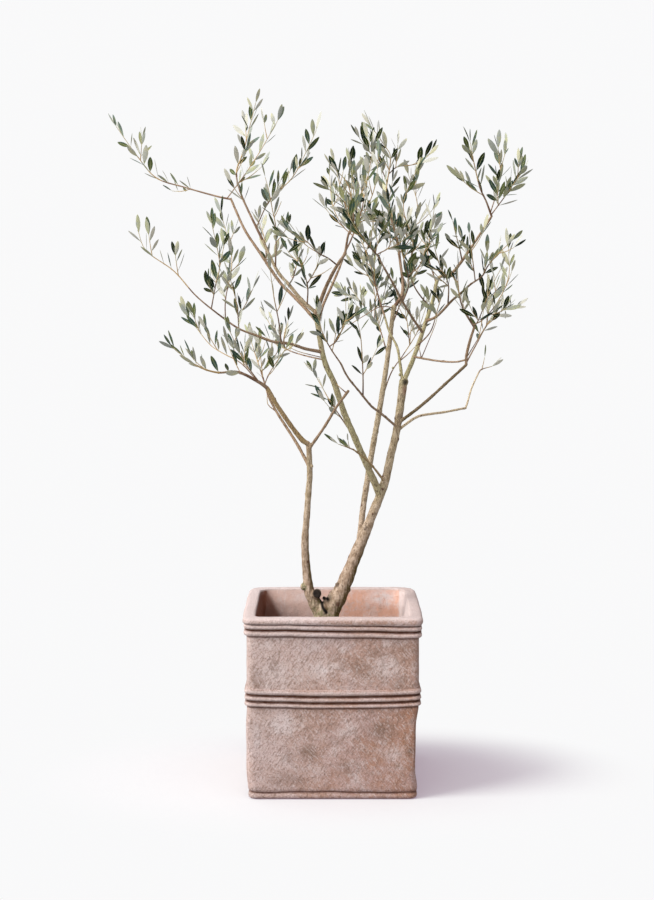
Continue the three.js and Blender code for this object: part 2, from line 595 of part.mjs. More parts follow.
// Side twigs stand off the shoots in turn, shorter towards the tip.
function sideTwigs(shoots, bareShare, owner, draw) {
  const twigs = [];
  for (const { route, isStem } of shoots) {
    const first = Math.max(SIDE_TWIG.firstShare, isStem ? bareShare : 0) * route.length;
    const last = SIDE_TWIG.lastShare * route.length;
    let turn = draw() * 2 * Math.PI;
    for (let place = first; place < last; place += SIDE_TWIG.every) {
      turn += (SIDE_TWIG.quarterTurns * Math.PI) / 2;
      const share = place / route.length;
      const length = THREE.MathUtils.lerp(SIDE_TWIG.longest, SIDE_TWIG.shortest, share)
        * (SIDE_TWIG.leastSize + SIDE_TWIG.sizeRange * draw());
      const heading = route.heading(share);
      const lean = leaning(heading, sideways(heading, turn), SIDE_TWIG.spread, SIDE_TWIG.lift);
      const start = route.at(share);
      const middle = start.clone().addScaledVector(lean, length / 2);
      const bent = lean.clone().addScaledVector(UP, SIDE_TWIG.lift).normalize();
      const tip = middle.clone().addScaledVector(bent, length / 2);
      const free = [middle, middle.clone().lerp(tip, 0.5), tip].every((point) => (
        inOwnSpace(point, owner) && clearOfLimbs(point, SIDE_TWIG.baseRadius)
      ));
      if (free) twigs.push(new Route([start, middle, tip], SIDE_TWIG.longest * 2));
    }
  }
  return twigs;
}

// A leaf is a thin lance of eight faces, its root on the twig's line and its tip bowed.
function leafSolid(root, heading, facing, length) {
  const width = new THREE.Vector3().crossVectors(heading, facing).normalize();
  const along = (share, sag) => root.clone()
    .addScaledVector(heading, length * share)
    .addScaledVector(facing, length * LEAF.bow * sag);
  const middle = along(LEAF.widestAt, 0);
  const half = (length * LEAF.widthShare) / 2;
  const points = [
    along(0, 0),
    along(1, 1),
    middle.clone().addScaledVector(width, half),
    middle.clone().addScaledVector(width, -half),
    middle.clone().addScaledVector(facing, LEAF.thickness / 2),
    middle.clone().addScaledVector(facing, -LEAF.thickness / 2),
  ];
  const free = [points[1], points[2], points[3], along(LEAF.lowTest, 0), along(LEAF.highTest, 0.5)];
  const faces = [0, 2, 4, 0, 4, 3, 0, 3, 5, 0, 5, 2, 1, 4, 2, 1, 3, 4, 1, 5, 3, 1, 2, 5];
  const geometry = new THREE.BufferGeometry().setFromPoints(points);
  geometry.setIndex(faces);
  return { solid: solidOf(geometry), free };
}

// Leaves stand in opposite pairs, each pair a quarter turn on, with a last one at the tip.
function leavesOn(route, bareShare, owner, draw, taken) {
  const leaves = [];
  const place = (share, turn, angle, size) => {
    const heading = route.heading(share);
    const side = sideways(heading, turn);
    const lean = leaning(heading, side, angle, LEAF.lift);
    const facing = heading.clone().addScaledVector(side, -LEAF.cupping);
    facing.addScaledVector(lean, -facing.dot(lean)).normalize();
    const length = THREE.MathUtils.lerp(LEAF.shortest, LEAF.longest, draw()) * size;
    const leaf = leafSolid(route.at(share), lean, facing, length);
    const isFree = leaf.free.every((point) => (
      inOwnSpace(point, owner) && clearOfLimbs(point, 0) && clearOfPoints(point, taken)
    ));
    if (isFree) {
      leaves.push(leaf.solid);
      taken.push(...leaf.free);
    }
  };
  let turn = draw() * Math.PI;
  for (let along = bareShare * route.length; along < route.length - LEAF.bareTip; along += LEAF.every) {
    turn += Math.PI / 2 + LEAF.turnRange * (draw() - 0.5);
    const angle = LEAF.spread * (LEAF.leastSpread + LEAF.spreadRange * draw());
    place(along / route.length, turn, angle, 1);
    place(along / route.length, turn + Math.PI, angle, 1);
  }
  place(1 - TIP_LEAF.inset / route.length, turn + TIP_LEAF.turn, TIP_LEAF.spread, TIP_LEAF.size);
  return leaves;
}

function growMass(owner) {
  const { bareShare = LEAF.stemBareShare } = FOLIAGE[owner];
  const shoots = shootsByMass[owner];
  const twigs = sideTwigs(shoots, bareShare, owner, seededDraws(owner));
  const draw = seededDraws(owner + FOLIAGE.length);
  const wood = [...shoots.map(({ route }) => route), ...twigs];
  const taken = wood.flatMap((route) => route.sampled(SAMPLE_EVERY));
  const parts = [
    ...shoots.map(({ route, baseRadius }) => (
      solidOf(limbGeometry(route, [baseRadius, SHOOT.tipRadius], SHOOT.sides))
    )),
    ...twigs.map((route) => (
      solidOf(limbGeometry(route, [SIDE_TWIG.baseRadius, SIDE_TWIG.tipRadius], SHOOT.sides))
    )),
    ...shoots.flatMap(({ route, isStem }) => (
      leavesOn(route, isStem ? bareShare : LEAF.forkBareShare, owner, draw, taken)
    )),
    ...twigs.flatMap((route) => leavesOn(route, LEAF.twigBareShare, owner, draw, taken)),
  ];
  let solid = wasm.Manifold.union(parts);
  for (const { grown } of Object.values(limbSolids)) {
    solid = solid.subtract(grown);
  }
  return largestPiece(solid);
}

// The assembly

function finish(colour, roughness) {
  return new THREE.MeshStandardMaterial({ color: colour, roughness, metalness: 0 });
}

const TERRACOTTA = finish(COLOURS.terracotta, 0.9);
const EARTH = finish(COLOURS.soil, 1);
const TRUNK_BARK = finish(COLOURS.trunk, 0.85);
const BOUGH_BARK = finish(COLOURS.bough, 0.8);
const LEAVES = finish(COLOURS.leaf, 0.6);

const tree = new THREE.Group();

function addMesh(group, name, geometry, material) {
  const mesh = new THREE.Mesh(geometry, material);
  mesh.name = name;
  group.add(mesh);
}

addMesh(tree, 'planter', planterGeometry(), TERRACOTTA);
addMesh(tree, 'soil', soilGeometry(), EARTH);

const wood = new THREE.Group();
for (const { name, radii } of LIMBS) {
  const bark = radii[0] > GREY_BARK_RADIUS ? TRUNK_BARK : BOUGH_BARK;
  addMesh(wood, name, geometryOf(limbSolids[name].solid), bark);
}

const crown = new THREE.Group();
FOLIAGE.forEach(({ name }, owner) => {
  addMesh(crown, `foliage_${name}`, geometryOf(growMass(owner)), LEAVES);
});

tree.add(wood, crown);

export default tree;
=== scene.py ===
"""Potted olive tree: an open, several-stemmed olive in a square ribbed terracotta planter.

Sizes are in millimetres and become metres where a mesh is made. +Z is up, +X is to the
viewer's right and +Y is away from the viewer.
"""

import json
import logging
import math
from dataclasses import dataclass, field
from enum import Enum
from typing import Sequence

import bpy
import numpy as np
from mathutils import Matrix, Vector, kdtree, noise

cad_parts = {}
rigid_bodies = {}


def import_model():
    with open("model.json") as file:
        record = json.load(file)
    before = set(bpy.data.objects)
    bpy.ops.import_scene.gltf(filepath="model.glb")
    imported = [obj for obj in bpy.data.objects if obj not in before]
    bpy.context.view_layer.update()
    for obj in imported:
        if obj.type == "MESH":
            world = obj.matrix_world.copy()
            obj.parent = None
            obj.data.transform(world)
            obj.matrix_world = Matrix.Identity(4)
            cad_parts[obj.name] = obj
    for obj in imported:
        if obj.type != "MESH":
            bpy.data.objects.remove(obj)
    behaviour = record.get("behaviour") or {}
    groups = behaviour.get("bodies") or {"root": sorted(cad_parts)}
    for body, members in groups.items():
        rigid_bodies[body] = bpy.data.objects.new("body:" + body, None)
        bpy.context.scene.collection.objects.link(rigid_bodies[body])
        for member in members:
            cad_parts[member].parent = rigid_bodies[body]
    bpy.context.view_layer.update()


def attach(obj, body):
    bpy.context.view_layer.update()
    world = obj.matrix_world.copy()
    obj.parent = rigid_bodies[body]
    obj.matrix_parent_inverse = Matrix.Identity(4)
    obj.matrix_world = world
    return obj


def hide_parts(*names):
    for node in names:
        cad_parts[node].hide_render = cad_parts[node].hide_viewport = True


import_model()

LOG = logging.getLogger("potted_olive")
BODY = "root"
MM = 0.001
UP = np.array([0.0, 0.0, 1.0])
ACROSS = np.array([1.0, 0.0, 0.0])
SOIL_TOP = 305.0

Array = np.ndarray
Colour = tuple[float, float, float]
Face = tuple[int, ...]
Material = bpy.types.Material
Pair = tuple[float, float]
Piece = bpy.types.Object
Point = tuple[float, float, float]
Socket = bpy.types.NodeSocket


class Side(Enum):
    """The three parts of the crown, each with leaves and twigs of its own."""

    LEFT = "left"
    CENTRE = "centre"
    RIGHT = "right"


class Bark(Enum):
    """The kinds of bark on the tree. All but the grey have a colour of their own."""

    GREY = "grey"
    OLIVE = "olive"
    OCHRE = "ochre"
    CREAM = "cream"
    # the dark kind also carries painted shade on the right flank of the trunk's foot
    DARK = "dark"
    TAN = "tan"


COLOURED_BARKS = tuple(kind for kind in Bark if kind is not Bark.GREY)


@dataclass(frozen=True)
class Limb:
    """A stem or bough: the points that it bends through and its evenly spaced radii.

    It starts at its own start, or on its parent's line at a share of the parent's length.
    """

    name: str
    through: tuple[Point, ...]
    radii: tuple[float, ...]
    parent: str = ""
    at: float = 0.0
    start: Point = (0.0, 0.0, 0.0)
    bark: Bark = Bark.TAN


def side_of(points: Sequence[Point]) -> Side:
    """Find the part of the crown that a line belongs to.

    Args:
        points: the points that the line passes through.

    Returns:
        The part that holds the line's middle.
    """
    left_before, right_after = -70, 185
    middle = float(np.mean([point[0] for point in points]))
    if middle < left_before:
        return Side.LEFT
    return Side.RIGHT if middle > right_after else Side.CENTRE


@dataclass(frozen=True)
class Mass:
    """A mass of foliage: its stem and the forks that leave the stem at a share of its length.

    A finer twig leaves its shoots every twigs_every millimetres. Each shoot grows on past its last
    point by its growth, as its leaves are shorter than the solids'.
    """

    name: str
    limb: str
    at: float
    stem: tuple[Point, ...]
    forks: tuple[tuple[float, tuple[Point, ...]], ...] = ()
    bare_share: float = 0.3
    twigs_every: float = 74.0
    pairs_every: float = 24.0
    lost_leaves: float = 0.08
    leaf_size: float = 1.0
    growth: float = 14.0

    @property
    def side(self) -> Side:
        """The part of the crown that the mass belongs to."""
        return side_of(self.stem)

    @property
    def uplift(self) -> float:
        """How far leaves on level shoots stand up: furthest on the long shoots at the left."""
        return 0.5 if self.side is Side.LEFT else 0.26

    @property
    def dark_shares(self) -> Pair:
        """The shares of leaf tops that are deep, and deep or middling: fewest at the left, where the light
        falls, so that more dark tops paint shade in the centre and at the right.
        """
        return {Side.LEFT: (0.24, 0.76), Side.CENTRE: (0.5, 0.89), Side.RIGHT: (0.58, 0.92)}[self.side]


@dataclass(frozen=True)
class BareTwig:
    """A thin twig without leaves, from its limb's nearest place to its first point on."""

    limb: str
    through: tuple[Point, ...]
    radius: float = 1.1


LIMBS = (
    Limb("trunk", start=(-12, 0, SOIL_TOP - 15), bark=Bark.GREY,
         through=((-12, 0, 338), (19, 2, 395), (45.5, 6, 460), (75, 10, 532), (107, 14, 615),
                  (121, 16, 675), (134.5, 18, 735), (147, 20, 830)),
         radii=(38, 29, 20, 16.6, 14, 12.8, 11.3, 9.9, 9.6, 9.2, 8.5, 8.2, 8, 8.8, 9)),
    Limb("left_stem", parent="trunk", at=0.08, bark=Bark.GREY,
         through=((-37, -6, 370), (-50, -8, 405), (-57, -13, 490), (-53, -19, 555), (-48.5, -24, 618),
                  (-47, -27, 650), (-49, -32, 705)),
         radii=(15, 11, 9, 8, 7, 6.5, 6.2, 5.8)),
    Limb("back_stem", parent="trunk", at=0.37, bark=Bark.GREY,
         through=((62, 34, 545), (68, 48, 585), (82, 70, 670), (106, 100, 800), (122, 120, 910),
                  (130, 132, 980)),
         radii=(6.6, 6.5, 6.4, 6, 5.4, 4.6)),
    Limb("middle_stem", parent="trunk", at=0.575, bark=Bark.OLIVE,
         through=((70, -14, 660), (46, -30, 715), (23, -44, 770), (3, -54, 830), (-18, -58, 880),
                  (-35, -60, 975)),
         radii=(7.4, 7, 6.6, 6.2, 5.6, 5)),
    Limb("lower_left_bough", parent="left_stem", at=1, bark=Bark.OCHRE,
         through=((-67, -40, 718), (-108, -62, 778), (-133, -78, 823)), radii=(5.6, 5, 4.4)),
    Limb("lower_left_back_twig", parent="left_stem", at=0.87,
         through=((-72, -6, 699), (-92, 10, 729), (-116, 24, 765), (-135, 36, 800)), radii=(3.6, 3, 2.4)),
    Limb("cut_stub", parent="left_stem", at=0.97,
         through=((-18.5, -60, 738.5), (7.5, -85, 783), (32, -105, 818)), radii=(3.4, 3, 2.8)),
    Limb("upper_left_bough", parent="middle_stem", at=1, bark=Bark.GREY,
         through=((-63, -56, 998), (-88, -50, 1028), (-113, -44, 1058), (-142, -34, 1119)),
         radii=(4.4, 3.7, 3.2)),
    Limb("rear_left_bough", parent="middle_stem", at=0.95,
         through=((-60, -30, 985), (-85, 0, 1010), (-110, 25, 1035), (-155, 70, 1100), (-185, 95, 1145),
                  (-215, 125, 1210)),
         radii=(3.6, 3.2, 2.4)),
    Limb("centre_front_bough", parent="middle_stem", at=0.985,
         through=((-15, -90, 1020), (5, -120, 1060), (25, -145, 1090)), radii=(4.4, 3.6, 3)),
    Limb("centre_rear_bough", parent="middle_stem", at=0.93,
         through=((-20, -30, 985), (0, 10, 1030), (15, 45, 1065), (25, 65, 1095)), radii=(3.2, 2.7, 2.2)),
    Limb("left_bough", parent="middle_stem", at=0.8,
         through=((-55, -74, 900), (-85, -84, 910), (-120, -90, 915), (-160, -94, 930)),
         radii=(3.4, 3, 2.5)),
    Limb("right_bough", parent="trunk", at=1, bark=Bark.OLIVE,
         through=((165, 26, 870), (187.5, 34, 933), (208, 42, 996), (220, 50, 1042), (247, 55, 1051),
                  (283, 64, 1097), (333, 78, 1172)),
         radii=(5.4, 4.8, 4.3, 3.6, 3, 2.6)),
    Limb("rear_centre_bough", parent="trunk", at=0.985, bark=Bark.OLIVE,
         through=((140, 45, 870), (135, 70, 900), (120, 95, 930), (110, 120, 965)), radii=(3.5, 3, 2.5)),
    Limb("bare_twig", parent="right_bough", at=0.14,
         through=((175, -20, 880), (215, -70, 875), (245, -105, 875), (262, -130, 880)),
         radii=(2.3, 2.1, 1.7)),
    Limb("right_front_bough", parent="right_bough", at=0.33,
         through=((215, 0, 965), (240, -45, 995), (255, -75, 1010), (275, -100, 1030)),
         radii=(2.9, 2.5, 2.1)),
    Limb("front_centre_bough", parent="right_bough", at=0.27,
         through=((160, -20, 965), (140, -70, 995), (125, -115, 1020), (100, -170, 1060)),
         radii=(2.7, 2.4, 2)),
    Limb("lower_right_bough", parent="trunk", at=0.845, bark=Bark.DARK,
         through=((170, 0, 770), (198.5, -20, 796), (229, -38, 826.5), (256.5, -52, 853.5),
                  (271.5, -58, 868.5)),
         radii=(3.7, 3.4, 3.2)),
    Limb("outer_right_bough", parent="lower_right_bough", at=1,
         through=((270, -62, 885), (275, -66, 910), (285, -70, 945)), radii=(3, 2.8, 2.5)),
    Limb("lowest_right_bough", parent="trunk", at=0.815, bark=Bark.CREAM,
         through=((175, 60, 751), (210, 95, 756), (240, 130, 757), (290, 175, 763)),
         radii=(3, 2.7, 2.4)),
    Limb("lowest_right_shoot", parent="lowest_right_bough", at=1, bark=Bark.CREAM,
         through=((293, 178, 773), (303, 188, 805), (320, 200, 840)), radii=(2.2, 1.9, 1.6)),
    Limb("cross_bough", parent="trunk", at=0.83,
         through=((100, -20, 765), (78, -50, 783.5), (54, -85, 814), (30, -120, 845), (15, -150, 875)),
         radii=(2.7, 2.3, 1.9)),
    Limb("low_front_bough", parent="trunk", at=0.625, bark=Bark.OCHRE,
         through=((80, -30, 660), (58, -60, 683), (41, -86, 698)), radii=(2.6, 2.2, 1.8)),
)

FOLIAGE = (
    Mass("low_left", "lower_left_bough", 1, twigs_every=150, growth=2,
         stem=((-150, -90, 835), (-190, -105, 855), (-230, -125, 855), (-270, -140, 870),
               (-315, -150, 905)),
         forks=((0.12, ((-185, -60, 870), (-225, -30, 890), (-255, -10, 910), (-295, 10, 960))),
                (0.1, ((-175, -110, 875), (-200, -135, 930))),
                (0.04, ((-125, -100, 855), (-95, -140, 900))))),
    Mass("low_left_rear", "lower_left_back_twig", 1, twigs_every=90, pairs_every=23,
         stem=((-145, 70, 830), (-160, 110, 870), (-175, 150, 910)),
         forks=((0.4, ((-130, 110, 865), (-110, 125, 900))),)),
    Mass("far_left", "left_bough", 1, bare_share=0.6, twigs_every=130, pairs_every=19, growth=8,
         stem=((-185, -100, 940), (-215, -100, 960), (-270, -110, 1005), (-315, -105, 1055),
               (-370, -100, 1095), (-385, -90, 1130)),
         forks=((0.1, ((-190, -125, 990), (-200, -150, 1035))),
                (0.2, ((-215, -70, 1000), (-205, -20, 1080), (-225, 10, 1160))),
                (0.31, ((-230, -150, 1025), (-220, -175, 1070), (-230, -200, 1130))))),
    Mass("left_front", "left_bough", 0.6, bare_share=0.45, twigs_every=200, pairs_every=32,
         stem=((-107, -120, 955), (-115, -155, 1002), (-120, -180, 1043))),
    Mass("left_rear", "middle_stem", 0.76, bare_share=0.4, twigs_every=150, pairs_every=34,
         stem=((-60, -20, 885), (-95, 40, 895), (-115, 100, 915), (-140, 155, 955)),
         forks=((0.5, ((-102, 60, 917), (-96, 80, 942))),)),
    Mass("top_left", "upper_left_bough", 1, twigs_every=120, pairs_every=19, growth=24,
         stem=((-160, -30, 1155), (-185, -25, 1210), (-195, -15, 1255), (-180, -10, 1300),
               (-162, 0, 1372)),
         forks=((0.1, ((-125, -90, 1195), (-80, -140, 1235), (-52, -175, 1282), (-38, -188, 1310))),)),
    Mass("upper_left_low", "upper_left_bough", 0.66, twigs_every=110, pairs_every=27,
         stem=((-113, -90, 1136), (-120, -110, 1179), (-125, -125, 1209), (-129, -130, 1224))),
    Mass("upper_left_rear", "upper_left_bough", 0.42, twigs_every=130, pairs_every=30,
         stem=((-80, 0, 1045), (-74, 50, 1075), (-72, 90, 1101))),
    Mass("upper_left_near", "upper_left_bough", 0.12, twigs_every=150, pairs_every=32,
         stem=((-50, -105, 1025), (-60, -150, 1060), (-70, -180, 1085)),
         forks=((0.4, ((-35, -130, 1055), (-30, -145, 1070))),)),
    Mass("far_top_left", "rear_left_bough", 1, twigs_every=500,
         stem=((-245, 135, 1215), (-315, 150, 1235), (-375, 160, 1255), (-415, 165, 1300),
               (-452, 168, 1352)),
         forks=((0.03, ((-185, 165, 1265), (-155, 200, 1315), (-125, 225, 1370))),)),
    Mass("rear_left", "rear_left_bough", 0.55, twigs_every=110,
         stem=((-140, 110, 1075), (-145, 170, 1125), (-160, 230, 1165))),
    Mass("centre_front", "centre_front_bough", 1, twigs_every=130, pairs_every=38,
         stem=((30, -165, 1125), (40, -180, 1150), (35, -195, 1195), (25, -205, 1225), (5, -210, 1245)),
         forks=((0.35, ((25, -225, 1180), (0, -255, 1200))),
                (0.5, ((55, -170, 1205), (70, -160, 1245))),
                (0.28, ((24, -172, 1178), (14, -150, 1219), (6, -140, 1254))),
                (0.2, ((60, -200, 1165), (80, -215, 1215), (85, -215, 1260))))),
    Mass("centre_left_front", "centre_front_bough", 0.78, twigs_every=120, pairs_every=30,
         stem=((-10, -150, 1080), (-30, -175, 1090), (-50, -205, 1110), (-75, -225, 1125))),
    Mass("centre_rear", "centre_rear_bough", 1, twigs_every=130, pairs_every=38,
         stem=((40, 90, 1125), (60, 115, 1180), (70, 130, 1230), (85, 135, 1310)),
         forks=((0.2, ((20, 130, 1155), (0, 165, 1200), (-5, 190, 1255))),
                (0.35, ((45, 85, 1215), (38, 70, 1265))))),
    Mass("top_centre", "back_stem", 1, pairs_every=25, leaf_size=1.1, growth=34,
         stem=((150, 140, 1015), (145, 160, 1080), (135, 170, 1140), (115, 185, 1215),
               (125, 190, 1297), (113, 195, 1325), (102, 198, 1341)),
         forks=((0.45, ((85, 220, 1180), (60, 255, 1245))),
                (0.3, ((170, 190, 1135), (185, 225, 1200), (170, 245, 1255))),
                (0.72, ((139, 200, 1281), (167, 205, 1285), (191, 210, 1292), (204, 212, 1305))),
                (0.68, ((97, 165, 1290), (76, 150, 1312), (65, 140, 1326))))),
    Mass("low_rear_right", "back_stem", 0.6, bare_share=0.6,
         stem=((125, 130, 840), (155, 180, 880), (185, 220, 925), (205, 255, 975)),
         forks=((0.6, ((165, 225, 940), (160, 255, 980))),)),
    Mass("rear_centre", "back_stem", 0.8, twigs_every=45, pairs_every=16,
         stem=((100, 185, 940), (75, 235, 975), (45, 280, 1015)),
         forks=((0.5, ((95, 230, 995), (105, 260, 1050))),)),
    Mass("rear_right", "back_stem", 0.92,
         stem=((150, 185, 995), (175, 240, 1040), (205, 290, 1090))),
    Mass("inner_rear", "rear_centre_bough", 1, twigs_every=34, pairs_every=14,
         stem=((95, 145, 1015), (85, 165, 1060), (70, 180, 1105), (50, 195, 1150))),
    Mass("centre_near", "front_centre_bough", 1, twigs_every=36, pairs_every=14,
         stem=((85, -195, 1085), (70, -215, 1100), (50, -240, 1125), (30, -260, 1155)),
         forks=((0.25, ((110, -205, 1105), (100, -235, 1145))),)),
    Mass("near_centre_right", "front_centre_bough", 0.5, twigs_every=120, pairs_every=34,
         stem=((150, -120, 1030), (140, -165, 1070), (125, -195, 1115), (110, -220, 1165)),
         forks=((0.35, ((170, -190, 1070), (180, -220, 1115))),)),
    Mass("right_of_centre", "right_bough", 0.4, twigs_every=120, pairs_every=34,
         stem=((170, 0, 1020), (155, -40, 1060), (160, -70, 1115), (140, -90, 1185), (160, -100, 1240)),
         forks=((0.55, ((120, -60, 1165), (110, -40, 1220))),)),
    Mass("right_upright", "right_bough", 0.53, pairs_every=27,
         stem=((200, 85, 1090), (205, 115, 1125), (215, 145, 1180))),
    Mass("right_inner", "right_bough", 0.72, twigs_every=300, pairs_every=40,
         stem=((261, 30, 1106), (252, 0, 1129), (246, -20, 1147))),
    Mass("upper_right", "right_bough", 1, twigs_every=150, pairs_every=17, leaf_size=1.1, growth=6,
         stem=((320, 70, 1200), (305, 60, 1230), (291, 46, 1280), (284, 38, 1312)),
         forks=((0.05, ((346, 105, 1226), (354, 128, 1265), (366, 145, 1306))),
                (0.02, ((360, 50, 1215), (373, 32, 1236), (384, 20, 1252))))),
    Mass("right_front", "right_front_bough", 1, twigs_every=110, pairs_every=28,
         stem=((295, -120, 1045), (305, -130, 1065), (325, -150, 1090), (340, -160, 1105)),
         forks=((0.1, ((275, -140, 1070), (265, -180, 1115))),)),
    Mass("right_near", "right_front_bough", 0.5, twigs_every=110, pairs_every=28,
         stem=((230, -90, 1030), (210, -140, 1065), (195, -180, 1105))),
    Mass("right_front_low", "right_bough", 0.2, bare_share=0.55, pairs_every=27,
         stem=((200, -30, 935), (212, -75, 985), (222, -115, 1025))),
    Mass("far_right", "outer_right_bough", 1, twigs_every=130, pairs_every=29,
         stem=((260, -95, 980), (250, -110, 1015), (245, -135, 1055)),
         forks=((0.04, ((305, -60, 960), (335, -40, 995), (358, -22, 1045), (358, -14, 1088))),
                (0.02, ((290, -110, 960), (310, -165, 1025), (320, -190, 1050))))),
    Mass("far_right_low", "lower_right_bough", 0.96, twigs_every=110, pairs_every=29,
         stem=((295, -20, 910), (315, 15, 940), (345, 60, 970), (380, 95, 980)),
         forks=((0.5, ((325, 20, 985), (345, 45, 1030))),)),
    Mass("low_right_tip", "lowest_right_shoot", 1, twigs_every=300, pairs_every=30, lost_leaves=0.6,
         stem=((326, 206, 845), (338, 212, 848))),
    Mass("centre_low", "cross_bough", 1, twigs_every=120, pairs_every=20,
         stem=((-5, -175, 905), (-20, -195, 935), (-25, -210, 955)),
         forks=((0.4, ((10, -205, 925), (25, -240, 965))),)),
    Mass("centre_low_shoot", "cross_bough", 0.55, twigs_every=400, pairs_every=26, lost_leaves=0.3,
         stem=((60, -115, 850), (55, -170, 920), (50, -195, 945))),
    Mass("low_front", "low_front_bough", 1, twigs_every=200, leaf_size=0.85,
         stem=((32, -94, 702), (22, -99, 706))),
    Mass("stem_twig", "middle_stem", 0.33, twigs_every=200, pairs_every=20, lost_leaves=0.1,
         stem=((-5, -10, 790), (-20, 10, 815), (-35, 25, 840))),
)

BARE_TWIGS = (
    BareTwig("outer_right_bough", ((285, -70, 945), (268, -62, 974), (257, -56, 1008))),
    BareTwig("outer_right_bough", ((270, -62, 881), (297, -66, 927), (320, -72, 966))),
    BareTwig("bare_twig", ((181, -30, 882), (200, -34, 926), (210, -38, 953), (212, -40, 967))),
    BareTwig("bare_twig", ((181, -30, 882), (175, -30, 906))),
    BareTwig("middle_stem", ((-24, -58, 880), (-66, -60, 893), (-86, -64, 902))),
    BareTwig("lower_left_back_twig", ((-120, 24, 765), (-134, 26, 780), (-136, 28, 798)), 1.6),
    BareTwig("cut_stub", ((24, -101, 815), (14, -98, 824), (6, -94, 832)), 1.5),
    BareTwig("rear_centre_bough", ((141, 45, 870), (157, 38, 885), (171, 36, 900)), 1.7),
    BareTwig("back_stem", ((125, 132, 980), (100, 104, 982), (62, 84, 961), (32, 72, 946),
                           (28, 68, 976), (28, 66, 1007)), 1.3),
)


class Draws:
    """The same draws on every run, from a linear congruential generator."""

    modulus = 2 ** 32
    factor = 1664525
    step = 1013904223
    seed_factor = 7919
    seed_step = 104729

    def __init__(self, seed: int) -> None:
        """Start from a whole number."""
        self.state = (seed * self.seed_factor + self.seed_step) % self.modulus

    def share(self) -> float:
        """Draw a number from 0 up to 1."""
        self.state = (self.state * self.factor + self.step) % self.modulus
        return self.state / self.modulus

    def between(self, low: float, high: float) -> float:
        """Draw a number between two others."""
        return low + (high - low) * self.share()

    def pick(self, count: int) -> int:
        """Draw one of the first whole numbers."""
        return int(self.share() * count)


def unit(vector: Array) -> Array:
    """Give the vector a length of one."""
    return vector / np.linalg.norm(vector)


def sideways(heading: Array, turn: float) -> Array:
    """Find a direction square to a heading.

    Args:
        heading: the heading.
        turn: how far round it the direction lies from the level one.

    Returns:
        The direction.
    """
    nearly_upright = 0.95
    reference = ACROSS if abs(heading[2]) > nearly_upright else UP
    level = unit(np.cross(heading, reference))
    raised = unit(np.cross(level, heading))
    return level * math.cos(turn) + raised * math.sin(turn)


def spread(values: Sequence[float], shares: Array) -> Array:
    """Read evenly spaced values at shares of their range."""
    return np.interp(shares, np.linspace(0, 1, len(values)), values)


class Route:
    """A smooth line through points, cut into even straight stretches.

    Places and headings on it are found by the share of its length.
    """

    parameter_steps = 200

    def __init__(self, points: Sequence[Point], every: float) -> None:
        """Lay the line.

        Args:
            points: the points that it passes through, in millimetres.
            every: the longest stretch, in millimetres.
        """
        knots = np.array(points, float)
        self.knots = np.vstack([2 * knots[0] - knots[1], knots, 2 * knots[-1] - knots[-2]])
        steps = np.linspace(0, len(knots) - 1, self.parameter_steps + 1)
        fine = self._along(steps)
        reached = np.concatenate([[0], np.cumsum(np.linalg.norm(np.diff(fine, axis=0), axis=1))])
        count = max(int(math.ceil(reached[-1] / every)), 1)
        self.points = self._along(np.interp(np.linspace(0, reached[-1], count + 1), reached, steps))
        gaps = np.linalg.norm(np.diff(self.points, axis=0), axis=1)
        self.reached = np.concatenate([[0], np.cumsum(gaps)])
        self.length = float(self.reached[-1])

    def _along(self, steps: Array) -> Array:
        """Follow the smooth line.

        Args:
            steps: places on it, counted in its knots.

        Returns:
            The points there.
        """
        index = np.minimum(steps.astype(int), len(self.knots) - 4)
        part = (steps - index)[:, None]
        before, first, second, after = (self.knots[index + i] for i in range(4))
        leave = 0.5 * (second - before)
        arrive = 0.5 * (after - first)
        return (first + leave * part + (3 * (second - first) - 2 * leave - arrive) * part ** 2
                + (2 * (first - second) + leave + arrive) * part ** 3)

    def at(self, shares: Array | float) -> Array:
        """Return the points at shares of the length."""
        places = np.clip(shares, 0, 1) * self.length
        return np.stack([np.interp(places, self.reached, self.points[:, i]) for i in range(3)], axis=-1)

    def heading(self, share: float) -> Array:
        """Find the line's direction.

        Args:
            share: where on it, as a share of its length.

        Returns:
            The direction of the stretch there.
        """
        place = min(max(share, 0), 1) * self.length
        index = min(max(int(np.searchsorted(self.reached, place)) - 1, 0), len(self.points) - 2)
        return unit(self.points[index + 1] - self.points[index])

    def sampled(self, every: float) -> Array:
        """Return points on the line, evenly spaced."""
        return self.at(np.linspace(0, 1, int(math.ceil(self.length / every)) + 1))

    def start_on(self, share: float) -> Point:
        """Return where a shoot starts that leaves the line at a share of its length."""
        overlap = 2.0
        return tuple(self.at(min(share, 1 - overlap / self.length)))


def clear_selection() -> None:
    """Leave object mode active with nothing selected, the model's nodes included."""
    if bpy.context.mode != "OBJECT":
        bpy.ops.object.mode_set(mode="OBJECT")
    bpy.ops.object.select_all(action="DESELECT")


def activate(*pieces: Piece) -> None:
    """Select pieces alone and make the first one active.

    Args:
        pieces: the pieces.
    """
    clear_selection()
    for piece in pieces:
        piece.select_set(True)
    bpy.context.view_layer.objects.active = pieces[0]


def apply_modifier(piece: Piece, kind: str, **settings: object) -> None:
    """Add a modifier to a piece, set it and apply it.

    Args:
        piece: the piece.
        kind: the modifier's type.
        settings: the modifier's settings by name.
    """
    activate(piece)
    modifier = piece.modifiers.new(kind.title(), kind)
    for name, value in settings.items():
        setattr(modifier, name, value)
    bpy.ops.object.modifier_apply(modifier=modifier.name)


def smooth(piece: Piece, sharp_from: float) -> None:
    """Shade a piece smooth, but for edges sharper than an angle in degrees."""
    activate(piece)
    bpy.ops.object.shade_smooth_by_angle(angle=math.radians(sharp_from))


def face_outwards() -> None:
    """Turn all faces of the piece in edit mode outwards and leave edit mode."""
    bpy.ops.mesh.select_all(action="SELECT")
    bpy.ops.mesh.normals_make_consistent(inside=False)
    bpy.ops.object.mode_set(mode="OBJECT")


